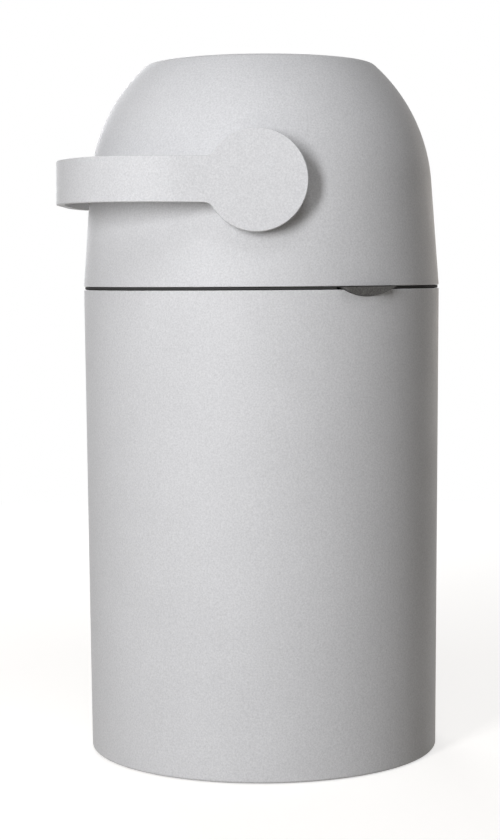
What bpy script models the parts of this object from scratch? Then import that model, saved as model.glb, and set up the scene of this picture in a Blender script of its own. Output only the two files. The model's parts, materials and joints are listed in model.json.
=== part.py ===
"""Nappy bin with a flip drum: a tapered pail, a domed head hinged on it, and a carry handle.

The handle's pivot lies along X and the handle rests towards -Y. Lifting it over the top turns the
drum half a turn. A loose piston in the drum's bore then slides down and pushes the nappy into the
bag that hangs in the pail. The origin is on the floor, in the middle of the space that the bin and
its handle take up. Lengths are in metres.
"""

import math

import bmesh
import bpy
from mathutils import Matrix, Vector

# Fits shared by every piece
GAP = 0.0003
RUN_GAP = 0.0005
OVERRUN = 0.004
WELD = 0.00001

# Facets of round pieces
BODY_FACETS = 48
RING_FACETS = 32
HUB_FACETS = 24
SMALL_FACETS = 8

# Outer form, taken from the photograph
RIM_RADIUS = 0.1325
TAPER = 0.0023
SEAM_HEIGHT = 0.3467
SEAM_GAP = 0.0024
DOME_INSET = 0.0052
DOME_CENTRE_RISE = 0.0673
DOME_TOP_SHARE = 0.7541
DOME_EDGE_RADIUS = 0.008
PIVOT_ABOVE_CENTRE = 0.0053
WALL = 0.0025

# Pail
PAD_PROUD = 0.0006
FOOT_WIDTH = 0.005
FOOT_CORNER = 0.002
BASE_RECESS = 0.0065
FLOOR_FILLET = 0.006
RIB_THICKNESS = 0.002
RIB_DEPTH = 0.0042
RIB_BARS = 4
LEDGE_DEPTH = 0.015
LEDGE_WIDTH = 0.0055
LEDGE_THICKNESS = 0.003
PAD_RADIUS = 0.007
PAD_COUNT = 4

# Bag ring
BAG_RING_WIDTH = 0.0372
BAG_NECK = 0.006
BAG_RING_THICKNESS = 0.0027
BAG_SKIRT_DEPTH = 0.033
FINGER_NOTCH_RADIUS = 0.011

# Hinge between pail and head
HINGE_BEARING = math.radians(215)
KNUCKLE_RADIUS = 0.005
HINGE_STANDOFF = 0.0055
PIN_RADIUS = 0.002
PIN_HEAD_RADIUS = 0.0032
PIN_HEAD_LENGTH = 0.0016
HEAD_KNUCKLE_HALF = 0.009
PAIL_KNUCKLE_LENGTH = 0.0117
LUG_DROP = 0.020
LUG_BITE = 0.002

# Latch
LATCH_BEARING = math.radians(35)
TAB_HALF_WIDTH = 0.023
TAB_DROP = 0.007
TAB_PROUD = 0.005
TAB_TOP_GAP = 0.0004
TAB_LIP = 0.0016
TAB_BACK_DEPTH = 0.0045
LEG_OFFSET = 0.0095
LEG_WIDTH = 0.003
LEG_HEIGHT = 0.003
KEEPER_DEPTH = 0.003
HOOK_HALF_WIDTH = 0.005
HOOK_THICKNESS = 0.0025
BARB_REACH = 0.0042
BARB_HEIGHT = 0.0037
HOOK_TO_WEB = 0.0015
WEB_THICKNESS = 0.0022
WEB_TO_TAB = 0.0063
HOUSING_HALF_WIDTH = 0.017
HOUSING_FLOOR = 0.0025
EAR_LENGTH = 0.010
LATCH_SCREW_OFFSET = 0.0223
LATCH_SCREW_INSET = 0.0045
SPRING_RADIUS = 0.0016
SPRING_WIRE_RADIUS = 0.00028
SPRING_TURNS = 6
SPRING_POCKET_DEPTH = 0.006

# Head
TOP_RIM = 0.0049
FLANGE_LAND = 0.003
MOUTH_WALL = 0.002
FLANGE_THICKNESS = 0.0018
TOP_PLATE = 0.0046
COLLAR_WALL = 0.0032
COLLAR_LENGTH = 0.019
TRAY_BOSS_RADIUS = 0.005
TRAY_BOSS_HEIGHT = 0.033
TRAY_BOSS_INSET = 0.009
TRAY_SCREWS = 4
TRAY_RISE = 0.002
TRAY_THICKNESS = 0.0025
TRAY_RIBS = 8
TRAY_RIB_HEIGHT = 0.006
SPIGOT_INSET = 0.032
SPIGOT_DEPTH = 0.006
TRAY_LIP_DEPTH = 0.0015
TRAY_LIP_WIDTH = 0.0016
TRAY_BAND_INSET = 0.0008
RIM_SEAL_WIDTH = 0.0055

# Drum, in shares of the dome's radius and of its own
DRUM_SHARE = 0.707
BORE_SHARE = 0.6444
DRUM_LENGTH_SHARE = 0.7167
CAP_PLANE_SHARE = 0.7778
CAP_SCREW_SHARE = 0.4222
DRUM_SKIN = 0.0025
BORE_WALL = 0.0028
LIP_WIDTH = 0.004
LIP_THICKNESS = 0.003
RETAINER_WIDTH = 0.006
HOLLOW_END_MARGIN = 0.0075
CAP_SPIGOT_DEPTH = 0.004
CAP_SPIGOT_WALL = 0.0025
CAP_SPIGOT_INSET = 0.001
CAP_PAD_RADIUS = 0.006
CAP_COLUMN_RADIUS = 0.0045
CAP_PAD_DEPTH = 0.0037
CAP_PAD_THICKNESS = 0.0028
TRUNNION_RADIUS = 0.017
TRUNNION_WALL = 0.0035
KEY_LENGTH = 0.006
KEY_HALF_HEIGHT = 0.0132

# Seals against the turning drum
SEAL_SHARE = 0.7244
SEAL_LIP_WIDTH = 0.003
SEAL_WIDTH = 0.005
SEAL_TIP_DEPTH = 0.0024
SEAL_WALL_DEPTH = 0.0040
SEAL_FLANGE = 0.002
SEAL_WALL = 0.0022
FUNNEL_SHOULDER_SHARE = 0.4

# Piston
PISTON_PLAY = 0.0015
PISTON_HEIGHT = 0.034
PISTON_WALL = 0.0025
PISTON_CHAMFER = 0.002
PISTON_BOSS_RADIUS = 0.0065
PISTON_SEAL_THICKNESS = 0.003
PISTON_SEAL_WIDTH = 0.006

# Bushes
BUSH_WALL = 0.0027
BUSH_LIP = 0.003
BUSH_FLANGE = 0.0025
STOP_WIDTH = 0.005

# Handle
HANDLE_STANDOFF = 0.0075
HANDLE_OVERREACH = 0.0161
BAR_HALF_STRAIGHT = 0.030
ARM_STRAIGHT = 0.052
HANDLE_WIDTH = 0.0315
HANDLE_THICKNESS = 0.0059
DISC_RADIUS = 0.0352
NECK_FILLET = 0.008
HANDLE_TILT = math.radians(1)
HANDLE_EDGE = 0.0007
HUB_WALL = 0.003
SOCKET_DEPTH = 0.020
LUG_HALF_WIDTH = 0.003
LUG_LENGTH = 0.0025

# Fasteners
SMALL_SCREW_RADIUS = 0.0015
SMALL_HEAD_RADIUS = 0.003
SMALL_HEAD_HEIGHT = 0.002
SMALL_SCREW_LENGTH = 0.012
HUB_SCREW_RADIUS = 0.0024
HUB_HEAD_RADIUS = 0.0045
HUB_HEAD_HEIGHT = 0.003
HUB_SCREW_LENGTH = 0.019
WASHER_RADIUS = 0.0062
WASHER_THICKNESS = 0.001


def sphere_height(radius, at):
    return math.sqrt(radius**2 - at**2)


# Pail and latch, worked out from the sizes above
BASE_RADIUS = RIM_RADIUS - TAPER
RIM_HEIGHT = SEAM_HEIGHT - SEAM_GAP
FLOOR_TOP = BASE_RECESS + WALL
HINGE_RADIUS = RIM_RADIUS + HINGE_STANDOFF
HINGE_HEIGHT = SEAM_HEIGHT - SEAM_GAP / 2
LEDGE_HEIGHT = SEAM_HEIGHT - LEDGE_DEPTH
BAG_RING_RADIUS = RIM_RADIUS - WALL - RUN_GAP - GAP
BAG_RING_TOP = LEDGE_HEIGHT + GAP + BAG_RING_THICKNESS
BAG_MOUTH_RADIUS = BAG_RING_RADIUS - BAG_RING_WIDTH
BAG_THROAT_RADIUS = BAG_MOUTH_RADIUS - BAG_NECK
TAB_TOP = SEAM_HEIGHT - TAB_TOP_GAP
TAB_BACK = RIM_RADIUS - TAB_BACK_DEPTH
LEG_MIDDLE = SEAM_HEIGHT - TAB_DROP / 2
WEB_FACE = TAB_BACK - WEB_TO_TAB
HOOK_FACE = WEB_FACE - WEB_THICKNESS - HOOK_TO_WEB
KEEPER_FACE = HOOK_FACE - HOOK_THICKNESS - BARB_REACH - GAP

# Head and drum, worked out from the sizes above
DOME_RADIUS = RIM_RADIUS - DOME_INSET
HEAD_RISE = DOME_CENTRE_RISE + DOME_RADIUS * DOME_TOP_SHARE
HEAD_TOP = SEAM_HEIGHT + HEAD_RISE
DOME_EDGE_RISE = HEAD_RISE - DOME_EDGE_RADIUS
FLAT_TOP_RADIUS = sphere_height(DOME_RADIUS - DOME_EDGE_RADIUS, DOME_EDGE_RISE - DOME_CENTRE_RISE)
FLANGE_RADIUS = FLAT_TOP_RADIUS - TOP_RIM
OPENING_RADIUS = FLANGE_RADIUS - FLANGE_LAND
MOUTH_RADIUS = OPENING_RADIUS - MOUTH_WALL
PIVOT_HEIGHT = SEAM_HEIGHT + DOME_CENTRE_RISE + PIVOT_ABOVE_CENTRE
TRAY_BOTTOM = SEAM_HEIGHT + TRAY_RISE
TRAY_TOP = TRAY_BOTTOM + TRAY_THICKNESS
SPIGOT_RADIUS = RIM_RADIUS - SPIGOT_INSET
DRUM_RADIUS = DOME_RADIUS * DRUM_SHARE
DRUM_HALF_LENGTH = DRUM_RADIUS * DRUM_LENGTH_SHARE
BORE_RADIUS = DRUM_RADIUS * BORE_SHARE
LIP_RADIUS = BORE_RADIUS - LIP_WIDTH
CAP_PLANE = DRUM_RADIUS * CAP_PLANE_SHARE
CAP_SPIGOT_RADIUS = sphere_height(DRUM_RADIUS - DRUM_SKIN, CAP_PLANE) - CAP_SPIGOT_INSET
CAP_SCREW_OFFSET = DRUM_RADIUS * CAP_SCREW_SHARE
CAP_PAD_FACE = CAP_PLANE + CAP_PAD_DEPTH
CAP_HEAD_SEAT = CAP_PAD_FACE + CAP_PAD_THICKNESS
SEAL_INNER_RADIUS = DRUM_RADIUS * SEAL_SHARE
SEAL_OUTER_RADIUS = SEAL_INNER_RADIUS + SEAL_WIDTH
SEAL_SEAT_RISE = sphere_height(DRUM_RADIUS + GAP, SEAL_INNER_RADIUS) + SEAL_TIP_DEPTH
PISTON_RADIUS = BORE_RADIUS - PISTON_PLAY
PISTON_LOW = -DRUM_HALF_LENGTH + LIP_THICKNESS + GAP
PISTON_MIDDLE = PISTON_LOW + PISTON_HEIGHT / 2

# Handle and bearings, worked out from the sizes above
HANDLE_HALF_SPAN = RIM_RADIUS + HANDLE_STANDOFF
HANDLE_REACH = RIM_RADIUS + HANDLE_OVERREACH
CORNER_WIDTH = HANDLE_HALF_SPAN - BAR_HALF_STRAIGHT
CORNER_LENGTH = HANDLE_REACH - ARM_STRAIGHT
AXIS_Y = (HANDLE_REACH - RIM_RADIUS) / 2
HUB_BACK = HANDLE_HALF_SPAN - HANDLE_THICKNESS
HUB_RADIUS = TRUNNION_RADIUS + HUB_WALL
TRUNNION_END = HUB_BACK - SOCKET_DEPTH
BUSH_RADIUS = HUB_RADIUS + GAP
BUSH_OUTER_RADIUS = BUSH_RADIUS + BUSH_WALL
BUSH_FLANGE_RADIUS = BUSH_OUTER_RADIUS + BUSH_LIP
STOP_RADIUS = BUSH_FLANGE_RADIUS + STOP_WIDTH
BUSH_FACE = HUB_BACK - GAP - BUSH_FLANGE
COLLAR_OUTER_FACE = BUSH_FACE - GAP
COLLAR_INNER_FACE = COLLAR_OUTER_FACE - COLLAR_LENGTH
COLLAR_RADIUS = BUSH_OUTER_RADIUS + GAP + COLLAR_WALL
ACROSS = (math.pi / 2, 0, math.pi / 2)


def clear_scene():
    for item in list(bpy.data.objects):
        bpy.data.objects.remove(item, do_unlink=True)


def new_collection(name):
    group = bpy.data.collections.new(name)
    bpy.context.scene.collection.children.link(group)
    return group


clear_scene()
PARTS = new_collection("nappy_bin")
CUTTERS = new_collection("cutters")


def finish_material(name, colour, roughness, metallic=0.0):
    made = bpy.data.materials.new(name)
    made.use_nodes = True
    shader = made.node_tree.nodes["Principled BSDF"]
    shader.inputs["Base Color"].default_value = (*colour, 1.0)
    shader.inputs["Roughness"].default_value = roughness
    shader.inputs["Metallic"].default_value = metallic
    made.diffuse_color = (*colour, 1.0)
    return made


def at_axis(place=(0, 0, 0)):
    """A place measured from the pail's own axis on the floor."""
    return Vector((place[0], place[1] + AXIS_Y, place[2]))


def new_object(name, mesh, place=(0, 0, 0), turn=(0, 0, 0)):
    made = bpy.data.objects.new(name, mesh)
    made.location = at_axis(place)
    made.rotation_euler = turn
    CUTTERS.objects.link(made)
    made.hide_render = True
    made.display_type = "WIRE"
    return made


def mesh_from(name, work):
    mesh = bpy.data.meshes.new(name)
    bmesh.ops.recalc_face_normals(work, faces=work.faces)
    work.to_mesh(mesh)
    work.free()
    return mesh


def clockwise(points):
    """The outline in the order that a Screw needs: down its outer side."""
    area = 0.0
    for (r0, z0), (r1, z1) in zip(points, points[1:] + points[:1]):
        area += r0 * z1 - r1 * z0
    return points if area < 0 else points[::-1]


def turned(name, outline, facets, place=(0, 0, 0), turn=(0, 0, 0)):
    """A solid turned about its local Z from an outline of (radius, height) points."""
    points = clockwise(list(outline))
    closed = min(r for r, _ in points) > WELD
    if not closed:
        while points[0][0] > WELD or points[-1][0] > WELD:
            points = points[1:] + points[:1]
    work = bmesh.new()
    ring = [work.verts.new((r, 0, z)) for r, z in points]
    for first, second in zip(ring, ring[1:]):
        work.edges.new((first, second))
    if closed:
        work.edges.new((ring[-1], ring[0]))
    mesh = bpy.data.meshes.new(name)
    work.to_mesh(mesh)
    work.free()
    made = new_object(name, mesh, place, turn)
    screw = made.modifiers.new("turn", "SCREW")
    screw.axis = "Z"
    screw.angle = 2 * math.pi
    screw.steps = facets
    screw.render_steps = facets
    screw.use_merge_vertices = True
    screw.merge_threshold = WELD
    screw.use_smooth_shade = True
    return made


def rod(name, radius, low, high, place=(0, 0, 0), turn=(0, 0, 0), facets=SMALL_FACETS):
    """A round bar along its local Z between two heights."""
    work = bmesh.new()
    bmesh.ops.create_cone(
        work, cap_ends=True, segments=facets, radius1=radius, radius2=radius, depth=high - low
    )
    bmesh.ops.translate(work, vec=(0, 0, (low + high) / 2), verts=work.verts)
    return new_object(name, mesh_from(name, work), place, turn)


def block(name, low, high, place=(0, 0, 0), turn=(0, 0, 0)):
    """A box between two corners."""
    work = bmesh.new()
    bmesh.ops.create_cube(work, size=1)
    bmesh.ops.scale(work, vec=[b - a for a, b in zip(low, high)], verts=work.verts)
    bmesh.ops.translate(work, vec=[(a + b) / 2 for a, b in zip(low, high)], verts=work.verts)
    return new_object(name, mesh_from(name, work), place, turn)


def mesh_of_curve(curve_object, place, turn):
    """A curve made into a mesh with its caps welded on, as a Boolean needs."""
    name = curve_object.name
    bpy.context.view_layer.update()
    seen = curve_object.evaluated_get(bpy.context.evaluated_depsgraph_get())
    mesh = bpy.data.meshes.new_from_object(seen)
    curve = curve_object.data
    bpy.data.objects.remove(curve_object, do_unlink=True)
    bpy.data.curves.remove(curve)
    work = bmesh.new()
    work.from_mesh(mesh)
    bmesh.ops.remove_doubles(work, verts=work.verts, dist=WELD)
    bpy.data.meshes.remove(mesh)
    return new_object(name, mesh_from(name, work), place, turn)


def plate(name, outline, low, high, place=(0, 0, 0), turn=(0, 0, 0)):
    """A flat outline drawn in its local XY and thickened along Z between two heights."""
    curve = bpy.data.curves.new(name, "CURVE")
    curve.dimensions = "2D"
    curve.fill_mode = "BOTH"
    curve.extrude = (high - low) / 2
    spline = curve.splines.new("POLY")
    spline.points.add(len(outline) - 1)
    for point, (x, y) in zip(spline.points, outline):
        point.co = (x, y, 0, 1)
    spline.use_cyclic_u = True
    drawn = bpy.data.objects.new(name, curve)
    CUTTERS.objects.link(drawn)
    made = mesh_of_curve(drawn, place, turn)
    made.data.transform(Matrix.Translation((0, 0, (low + high) / 2)))
    return made


def combine(target, other, operation):
    change = target.modifiers.new(other.name, "BOOLEAN")
    change.operation = operation
    change.solver = "EXACT"
    change.object = other
    return target


def add(target, *others):
    for other in others:
        combine(target, other, "UNION")
    return target


def cut(target, *others):
    for other in others:
        combine(target, other, "DIFFERENCE")
    return target


def keep_inside(target, other):
    return combine(target, other, "INTERSECT")


def soften(target, width, steps=1, least=math.radians(50)):
    edge = target.modifiers.new("edges", "BEVEL")
    edge.width = width
    edge.segments = steps
    edge.limit_method = "ANGLE"
    edge.angle_limit = least
    edge.use_clamp_overlap = True
    return target


def part(made, finish):
    """Turns a construction object into a named sub-part with its own material."""
    CUTTERS.objects.unlink(made)
    PARTS.objects.link(made)
    made.hide_render = False
    made.display_type = "TEXTURED"
    own = finish.copy()
    own.name = made.name
    made.data.materials.append(own)
    if made.data.polygons:
        made.data.shade_smooth()
        made.data.set_sharp_from_angle(angle=math.radians(35))
    return made


def arc(centre, radius, start, end, steps):
    return [
        (
            centre[0] + radius * math.cos(start + (end - start) * i / steps),
            centre[1] + radius * math.sin(start + (end - start) * i / steps),
        )
        for i in range(steps + 1)
    ]


def spread(bearing, radius, height=0.0):
    return (radius * math.cos(bearing), radius * math.sin(bearing), height)


def outer_radius(height):
    """The pail's outside at a height above the floor."""
    low = PAD_PROUD + FOOT_CORNER
    share = (height - low) / (RIM_HEIGHT - low)
    return BASE_RADIUS + (RIM_RADIUS - BASE_RADIUS) * share


def skirt_angle():
    """Slope at which the head's straight skirt meets the round of the dome."""
    span = math.hypot(RIM_RADIUS, DOME_CENTRE_RISE)
    return math.acos(DOME_RADIUS / span) - math.atan2(DOME_CENTRE_RISE, RIM_RADIUS)


def skirt_radius(rise, inset=0.0):
    """The head's skirt at a rise above the seam, moved inwards by the inset."""
    slope = skirt_angle()
    reach = DOME_RADIUS - inset - (rise - DOME_CENTRE_RISE) * math.sin(slope)
    return reach / math.cos(slope)


def head_outside():
    """Outline of the head's outside from the flat top down to the seam."""
    turn_in = math.atan2(DOME_EDGE_RISE - DOME_CENTRE_RISE, FLAT_TOP_RADIUS)
    centre = (0, SEAM_HEIGHT + DOME_CENTRE_RISE)
    corner = (FLAT_TOP_RADIUS, SEAM_HEIGHT + DOME_EDGE_RISE)
    points = arc(corner, DOME_EDGE_RADIUS, math.pi / 2, turn_in, 2)
    points += arc(centre, DOME_RADIUS, turn_in, skirt_angle(), 7)[1:]
    return points + [(RIM_RADIUS, SEAM_HEIGHT)]


def head_inside():
    """Outline of the head's inside from the seam up to the thick plate round its opening."""
    radius = DOME_RADIUS - WALL
    plate_rise = HEAD_RISE - TOP_PLATE - DOME_CENTRE_RISE
    centre = (0, SEAM_HEIGHT + DOME_CENTRE_RISE)
    points = [(skirt_radius(0, WALL), SEAM_HEIGHT)]
    return points + arc(centre, radius, skirt_angle(), math.asin(plate_rise / radius), 5)


def knuckle(name, low, high, lug):
    """A hinge barrel along the tangent at the hinge, with the lug that carries it."""
    turn = (math.pi / 2, 0, HINGE_BEARING)
    barrel = rod(name + "_barrel", KNUCKLE_RADIUS, low, high, turn=turn, facets=16)
    barrel.data.transform(Matrix.Translation((HINGE_RADIUS, HINGE_HEIGHT, 0)))
    arm = plate(name + "_arm", lug, low + RUN_GAP, high - RUN_GAP, turn=turn)
    return [barrel, arm]


def hinge_bore(name):
    turn = (math.pi / 2, 0, HINGE_BEARING)
    reach = HEAD_KNUCKLE_HALF + PAIL_KNUCKLE_LENGTH + OVERRUN
    bore = rod(name, PIN_RADIUS + GAP, -reach, reach, turn=turn)
    bore.data.transform(Matrix.Translation((HINGE_RADIUS, HINGE_HEIGHT, 0)))
    return bore


def tab_outline(grow=0.0):
    """Front view of the latch tab: flat along the seam and round below."""
    radius = (TAB_HALF_WIDTH**2 + TAB_DROP**2) / (2 * TAB_DROP)
    half = math.asin(TAB_HALF_WIDTH / radius)
    centre = (0, SEAM_HEIGHT - TAB_DROP + radius)
    low = arc(centre, radius + grow, -math.pi / 2 - half, -math.pi / 2 + half, 12)
    top = TAB_TOP + grow
    low = [(x, min(z, top - grow / 2 - WALL / 10)) for x, z in low]
    return low + [(low[-1][0], top), (low[0][0], top)]


def facing_latch():
    """Turn that stands an outline up, facing out at the latch."""
    return (math.pi / 2, 0, LATCH_BEARING + math.pi / 2)


def make_pail(finish):
    inner_low = outer_radius(FLOOR_TOP) - WALL
    inner_top = RIM_RADIUS - WALL
    ledge_low = LEDGE_HEIGHT - LEDGE_THICKNESS
    ledge_radius = outer_radius(LEDGE_HEIGHT) - WALL - LEDGE_WIDTH
    foot_radius = BASE_RADIUS - FOOT_WIDTH
    fillet_centre = (inner_low - FLOOR_FILLET, FLOOR_TOP + FLOOR_FILLET)
    outline = [(0, FLOOR_TOP)]
    outline += arc(fillet_centre, FLOOR_FILLET, -math.pi / 2, 0, 2)
    outline += [
        (outer_radius(ledge_low - LEDGE_WIDTH) - WALL, ledge_low - LEDGE_WIDTH),
        (ledge_radius, ledge_low),
        (ledge_radius, LEDGE_HEIGHT),
        (outer_radius(LEDGE_HEIGHT) - WALL, LEDGE_HEIGHT),
        (inner_top, RIM_HEIGHT),
        (RIM_RADIUS, RIM_HEIGHT),
    ]
    corner = (BASE_RADIUS - FOOT_CORNER, PAD_PROUD + FOOT_CORNER)
    outline += arc(corner, FOOT_CORNER, 0, -math.pi / 2, 2)
    outline += [(foot_radius, PAD_PROUD), (foot_radius, BASE_RECESS), (0, BASE_RECESS)]
    pail = turned("pail", outline, BODY_FACETS)
    for i in range(RIB_BARS):
        half = foot_radius + FOOT_WIDTH / 2
        low = (-half, -RIB_THICKNESS / 2, BASE_RECESS - RIB_DEPTH)
        high = (half, RIB_THICKNESS / 2, BASE_RECESS + WALL / 2)
        add(pail, block(f"base_rib_{i}", low, high, turn=(0, 0, math.pi * i / RIB_BARS)))
    lug = [
        (RIM_RADIUS - LUG_BITE, RIM_HEIGHT - WALL / 2),
        (HINGE_RADIUS - LUG_BITE, HINGE_HEIGHT),
        (HINGE_RADIUS + KNUCKLE_RADIUS - LUG_BITE, HINGE_HEIGHT),
        (outer_radius(HINGE_HEIGHT - LUG_DROP) - LUG_BITE, HINGE_HEIGHT - LUG_DROP),
    ]
    near = HEAD_KNUCKLE_HALF + GAP
    far = near + PAIL_KNUCKLE_LENGTH
    add(pail, *knuckle("pail_knuckle_a", near, far, lug))
    add(pail, *knuckle("pail_knuckle_b", -far, -near, lug))
    cut(pail, hinge_bore("pail_hinge_bore"))
    notch = plate(
        "tab_notch", tab_outline(GAP), TAB_BACK - WALL, RIM_RADIUS + OVERRUN, turn=facing_latch()
    )
    cut(pail, notch)
    for side in (-1, 1):
        place = latch_point(LATCH_SCREW_INSET, side * LATCH_SCREW_OFFSET)
        low = LEDGE_HEIGHT - SMALL_SCREW_LENGTH - LEDGE_THICKNESS
        boss = rod(f"latch_boss_{side}", SMALL_HEAD_RADIUS, low, LEDGE_HEIGHT - GAP, place)
        pilot = rod(
            f"latch_pilot_{side}", SMALL_SCREW_RADIUS + GAP, low + WALL / 2, SEAM_HEIGHT, place
        )
        add(pail, boss)
        cut(pail, pilot)
    return part(pail, finish)


def latch_point(inset, sideways):
    """A place by the latch: inset from the pail's inside, and sideways along the rim."""
    radial = RIM_RADIUS - WALL - inset
    return spread(LATCH_BEARING + sideways / radial, radial)


def make_bag_ring(finish):
    outer = BAG_RING_RADIUS
    top = BAG_RING_TOP
    low = top - BAG_RING_THICKNESS
    outline = [
        (BAG_MOUTH_RADIUS, top),
        (outer, top),
        (outer, low),
        (BAG_MOUTH_RADIUS + BAG_RING_THICKNESS, low),
        (BAG_THROAT_RADIUS + BAG_RING_THICKNESS, top - BAG_SKIRT_DEPTH),
        (BAG_THROAT_RADIUS, top - BAG_SKIRT_DEPTH),
    ]
    ring = turned("bag_ring", outline, RING_FACETS)
    half = HOUSING_HALF_WIDTH + EAR_LENGTH + RUN_GAP
    reach = WEB_FACE - WEB_THICKNESS - RUN_GAP
    corner = (reach, -half, low - OVERRUN)
    far_corner = (RIM_RADIUS, half, top + OVERRUN)
    cut(ring, block("housing_notch", corner, far_corner, turn=(0, 0, LATCH_BEARING)))
    for i, side in enumerate((-1, 1)):
        place = spread(LATCH_BEARING + side * math.pi / 2, outer)
        cut(ring, rod(f"finger_notch_{i}", FINGER_NOTCH_RADIUS, low - OVERRUN, top + OVERRUN, place))
    return part(ring, finish)


def make_hinge_pin(finish):
    half = HEAD_KNUCKLE_HALF + GAP + PAIL_KNUCKLE_LENGTH + GAP
    end = half + PIN_HEAD_LENGTH
    outline = [
        (0, end),
        (PIN_HEAD_RADIUS, end),
        (PIN_HEAD_RADIUS, half),
        (PIN_RADIUS, half),
        (PIN_RADIUS, -half),
        (PIN_HEAD_RADIUS, -half),
        (PIN_HEAD_RADIUS, -end),
        (0, -end),
    ]
    place = spread(HINGE_BEARING, HINGE_RADIUS, HINGE_HEIGHT)
    turn = (math.pi / 2, 0, HINGE_BEARING)
    return part(turned("hinge_pin", outline, SMALL_FACETS, place, turn), finish)


def make_foot_pads(finish):
    reach = BASE_RADIUS - FOOT_WIDTH - PAD_RADIUS - RUN_GAP
    pads = []
    for i in range(PAD_COUNT):
        place = spread(math.pi * (2 * i + 1) / PAD_COUNT + math.pi / 8, reach)
        top = BASE_RECESS - GAP
        outline = [
            (0, top),
            (PAD_RADIUS, top),
            (PAD_RADIUS, PAD_PROUD),
            (PAD_RADIUS - PAD_PROUD, 0),
            (0, 0),
        ]
        pads.append(part(turned(f"foot_pad_{i + 1}", outline, HUB_FACETS // 2, place), finish))
    return pads


def make_latch_housing(finish):
    turn = (0, 0, LATCH_BEARING)
    inner = WEB_FACE - WEB_THICKNESS
    outer = RIM_RADIUS
    low = LEDGE_HEIGHT + GAP
    floor = low + HOUSING_FLOOR
    top = RIM_HEIGHT + WALL / 2
    half = HOUSING_HALF_WIDTH
    housing = block(
        "latch_housing", (inner, -half - EAR_LENGTH, low), (outer, half + EAR_LENGTH, floor), turn=turn
    )
    bite = HOUSING_FLOOR / 2
    add(housing, block("latch_web", (inner, -half, low + bite), (WEB_FACE, half, top), turn=turn))
    for side in (-1, 1):
        low_y, high_y = sorted((side * half, side * (half - WEB_THICKNESS)))
        cheek_top = SEAM_HEIGHT - TAB_DROP - RUN_GAP
        cheek = block(
            f"latch_cheek_{side}", (inner + bite, low_y, low + bite), (outer, high_y, cheek_top), turn=turn
        )
        add(housing, cheek)
    keep_inside(
        housing,
        rod("pail_inside", BAG_RING_RADIUS, low - OVERRUN, SEAM_HEIGHT, facets=BODY_FACETS),
    )
    slot_low = LEG_MIDDLE - LEG_HEIGHT / 2 - GAP
    for side in (-1, 1):
        middle = side * LEG_OFFSET
        reach = LEG_WIDTH / 2 + GAP
        slot = block(
            f"leg_slot_{side}",
            (inner - OVERRUN, middle - reach, slot_low),
            (WEB_FACE + OVERRUN, middle + reach, SEAM_HEIGHT),
            turn=turn,
        )
        place = latch_point(LATCH_SCREW_INSET, side * LATCH_SCREW_OFFSET)
        hole = rod(
            f"ear_hole_{side}", SMALL_SCREW_RADIUS + GAP, low - OVERRUN, floor + OVERRUN, place
        )
        cut(housing, slot, hole)
    return part(housing, finish)


def make_button(finish):
    turn = facing_latch()
    front = RIM_RADIUS + TAB_PROUD
    button = plate("release_button", tab_outline(), TAB_BACK, front + OVERRUN, turn=turn)
    bottom = SEAM_HEIGHT - TAB_DROP
    slope = [
        (TAB_BACK - OVERRUN, SEAM_HEIGHT),
        (front, SEAM_HEIGHT),
        (front, TAB_TOP - TAB_LIP),
        (RIM_RADIUS + GAP, bottom - GAP),
        (TAB_BACK - OVERRUN, bottom - GAP),
    ]
    keep_inside(button, turned("tab_slope", slope, 2 * BODY_FACETS))
    low = LEG_MIDDLE - LEG_HEIGHT / 2
    high = LEG_MIDDLE + LEG_HEIGHT / 2
    keeper_back = KEEPER_FACE - KEEPER_DEPTH
    flat = (0, 0, LATCH_BEARING)
    for side in (-1, 1):
        low_y = side * LEG_OFFSET - LEG_WIDTH / 2
        corner = (keeper_back, low_y, low)
        far_corner = (TAB_BACK + WALL / 2, low_y + LEG_WIDTH, high)
        add(button, block(f"button_leg_{side}", corner, far_corner, turn=flat))
    half = LEG_OFFSET
    add(button, block("keeper", (keeper_back, -half, low), (KEEPER_FACE, half, high), turn=flat))
    pocket = rod(
        "spring_pocket",
        SPRING_RADIUS + SPRING_WIRE_RADIUS + GAP,
        TAB_BACK - OVERRUN,
        TAB_BACK + SPRING_POCKET_DEPTH,
        (0, 0, LEG_MIDDLE),
        turn=(math.pi / 2, 0, LATCH_BEARING + math.pi / 2),
    )
    cut(button, pocket)
    return part(button, finish)


def make_spring(finish):
    low = WEB_FACE + GAP + SPRING_WIRE_RADIUS
    high = TAB_BACK + SPRING_POCKET_DEPTH - GAP - SPRING_WIRE_RADIUS
    per_turn = 8
    count = SPRING_TURNS * per_turn
    curve = bpy.data.curves.new("button_spring", "CURVE")
    curve.dimensions = "3D"
    curve.bevel_depth = SPRING_WIRE_RADIUS
    curve.bevel_resolution = 0
    curve.use_fill_caps = True
    spline = curve.splines.new("POLY")
    spline.points.add(count)
    for i, point in enumerate(spline.points):
        angle = 2 * math.pi * i / per_turn
        x = SPRING_RADIUS * math.cos(angle)
        y = SPRING_RADIUS * math.sin(angle)
        point.co = (x, y, low + (high - low) * i / count, 1)
    drawn = bpy.data.objects.new("button_spring", curve)
    CUTTERS.objects.link(drawn)
    spring = mesh_of_curve(drawn, (0, 0, LEG_MIDDLE), (math.pi / 2, 0, LATCH_BEARING + math.pi / 2))
    return part(spring, finish)


def screw(name, radius, head_radius, head_height, length, place, turn=(0, 0, 0)):
    """A pan-head screw whose head stands on its place and whose shank runs down local Z."""
    outline = [
        (0, head_height),
        (head_radius - head_height / 3, head_height),
        (head_radius, head_height * 2 / 3),
        (head_radius, 0),
        (radius, 0),
        (radius, radius - length),
        (0, -length),
    ]
    return turned(name, outline, SMALL_FACETS, place, turn)


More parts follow.
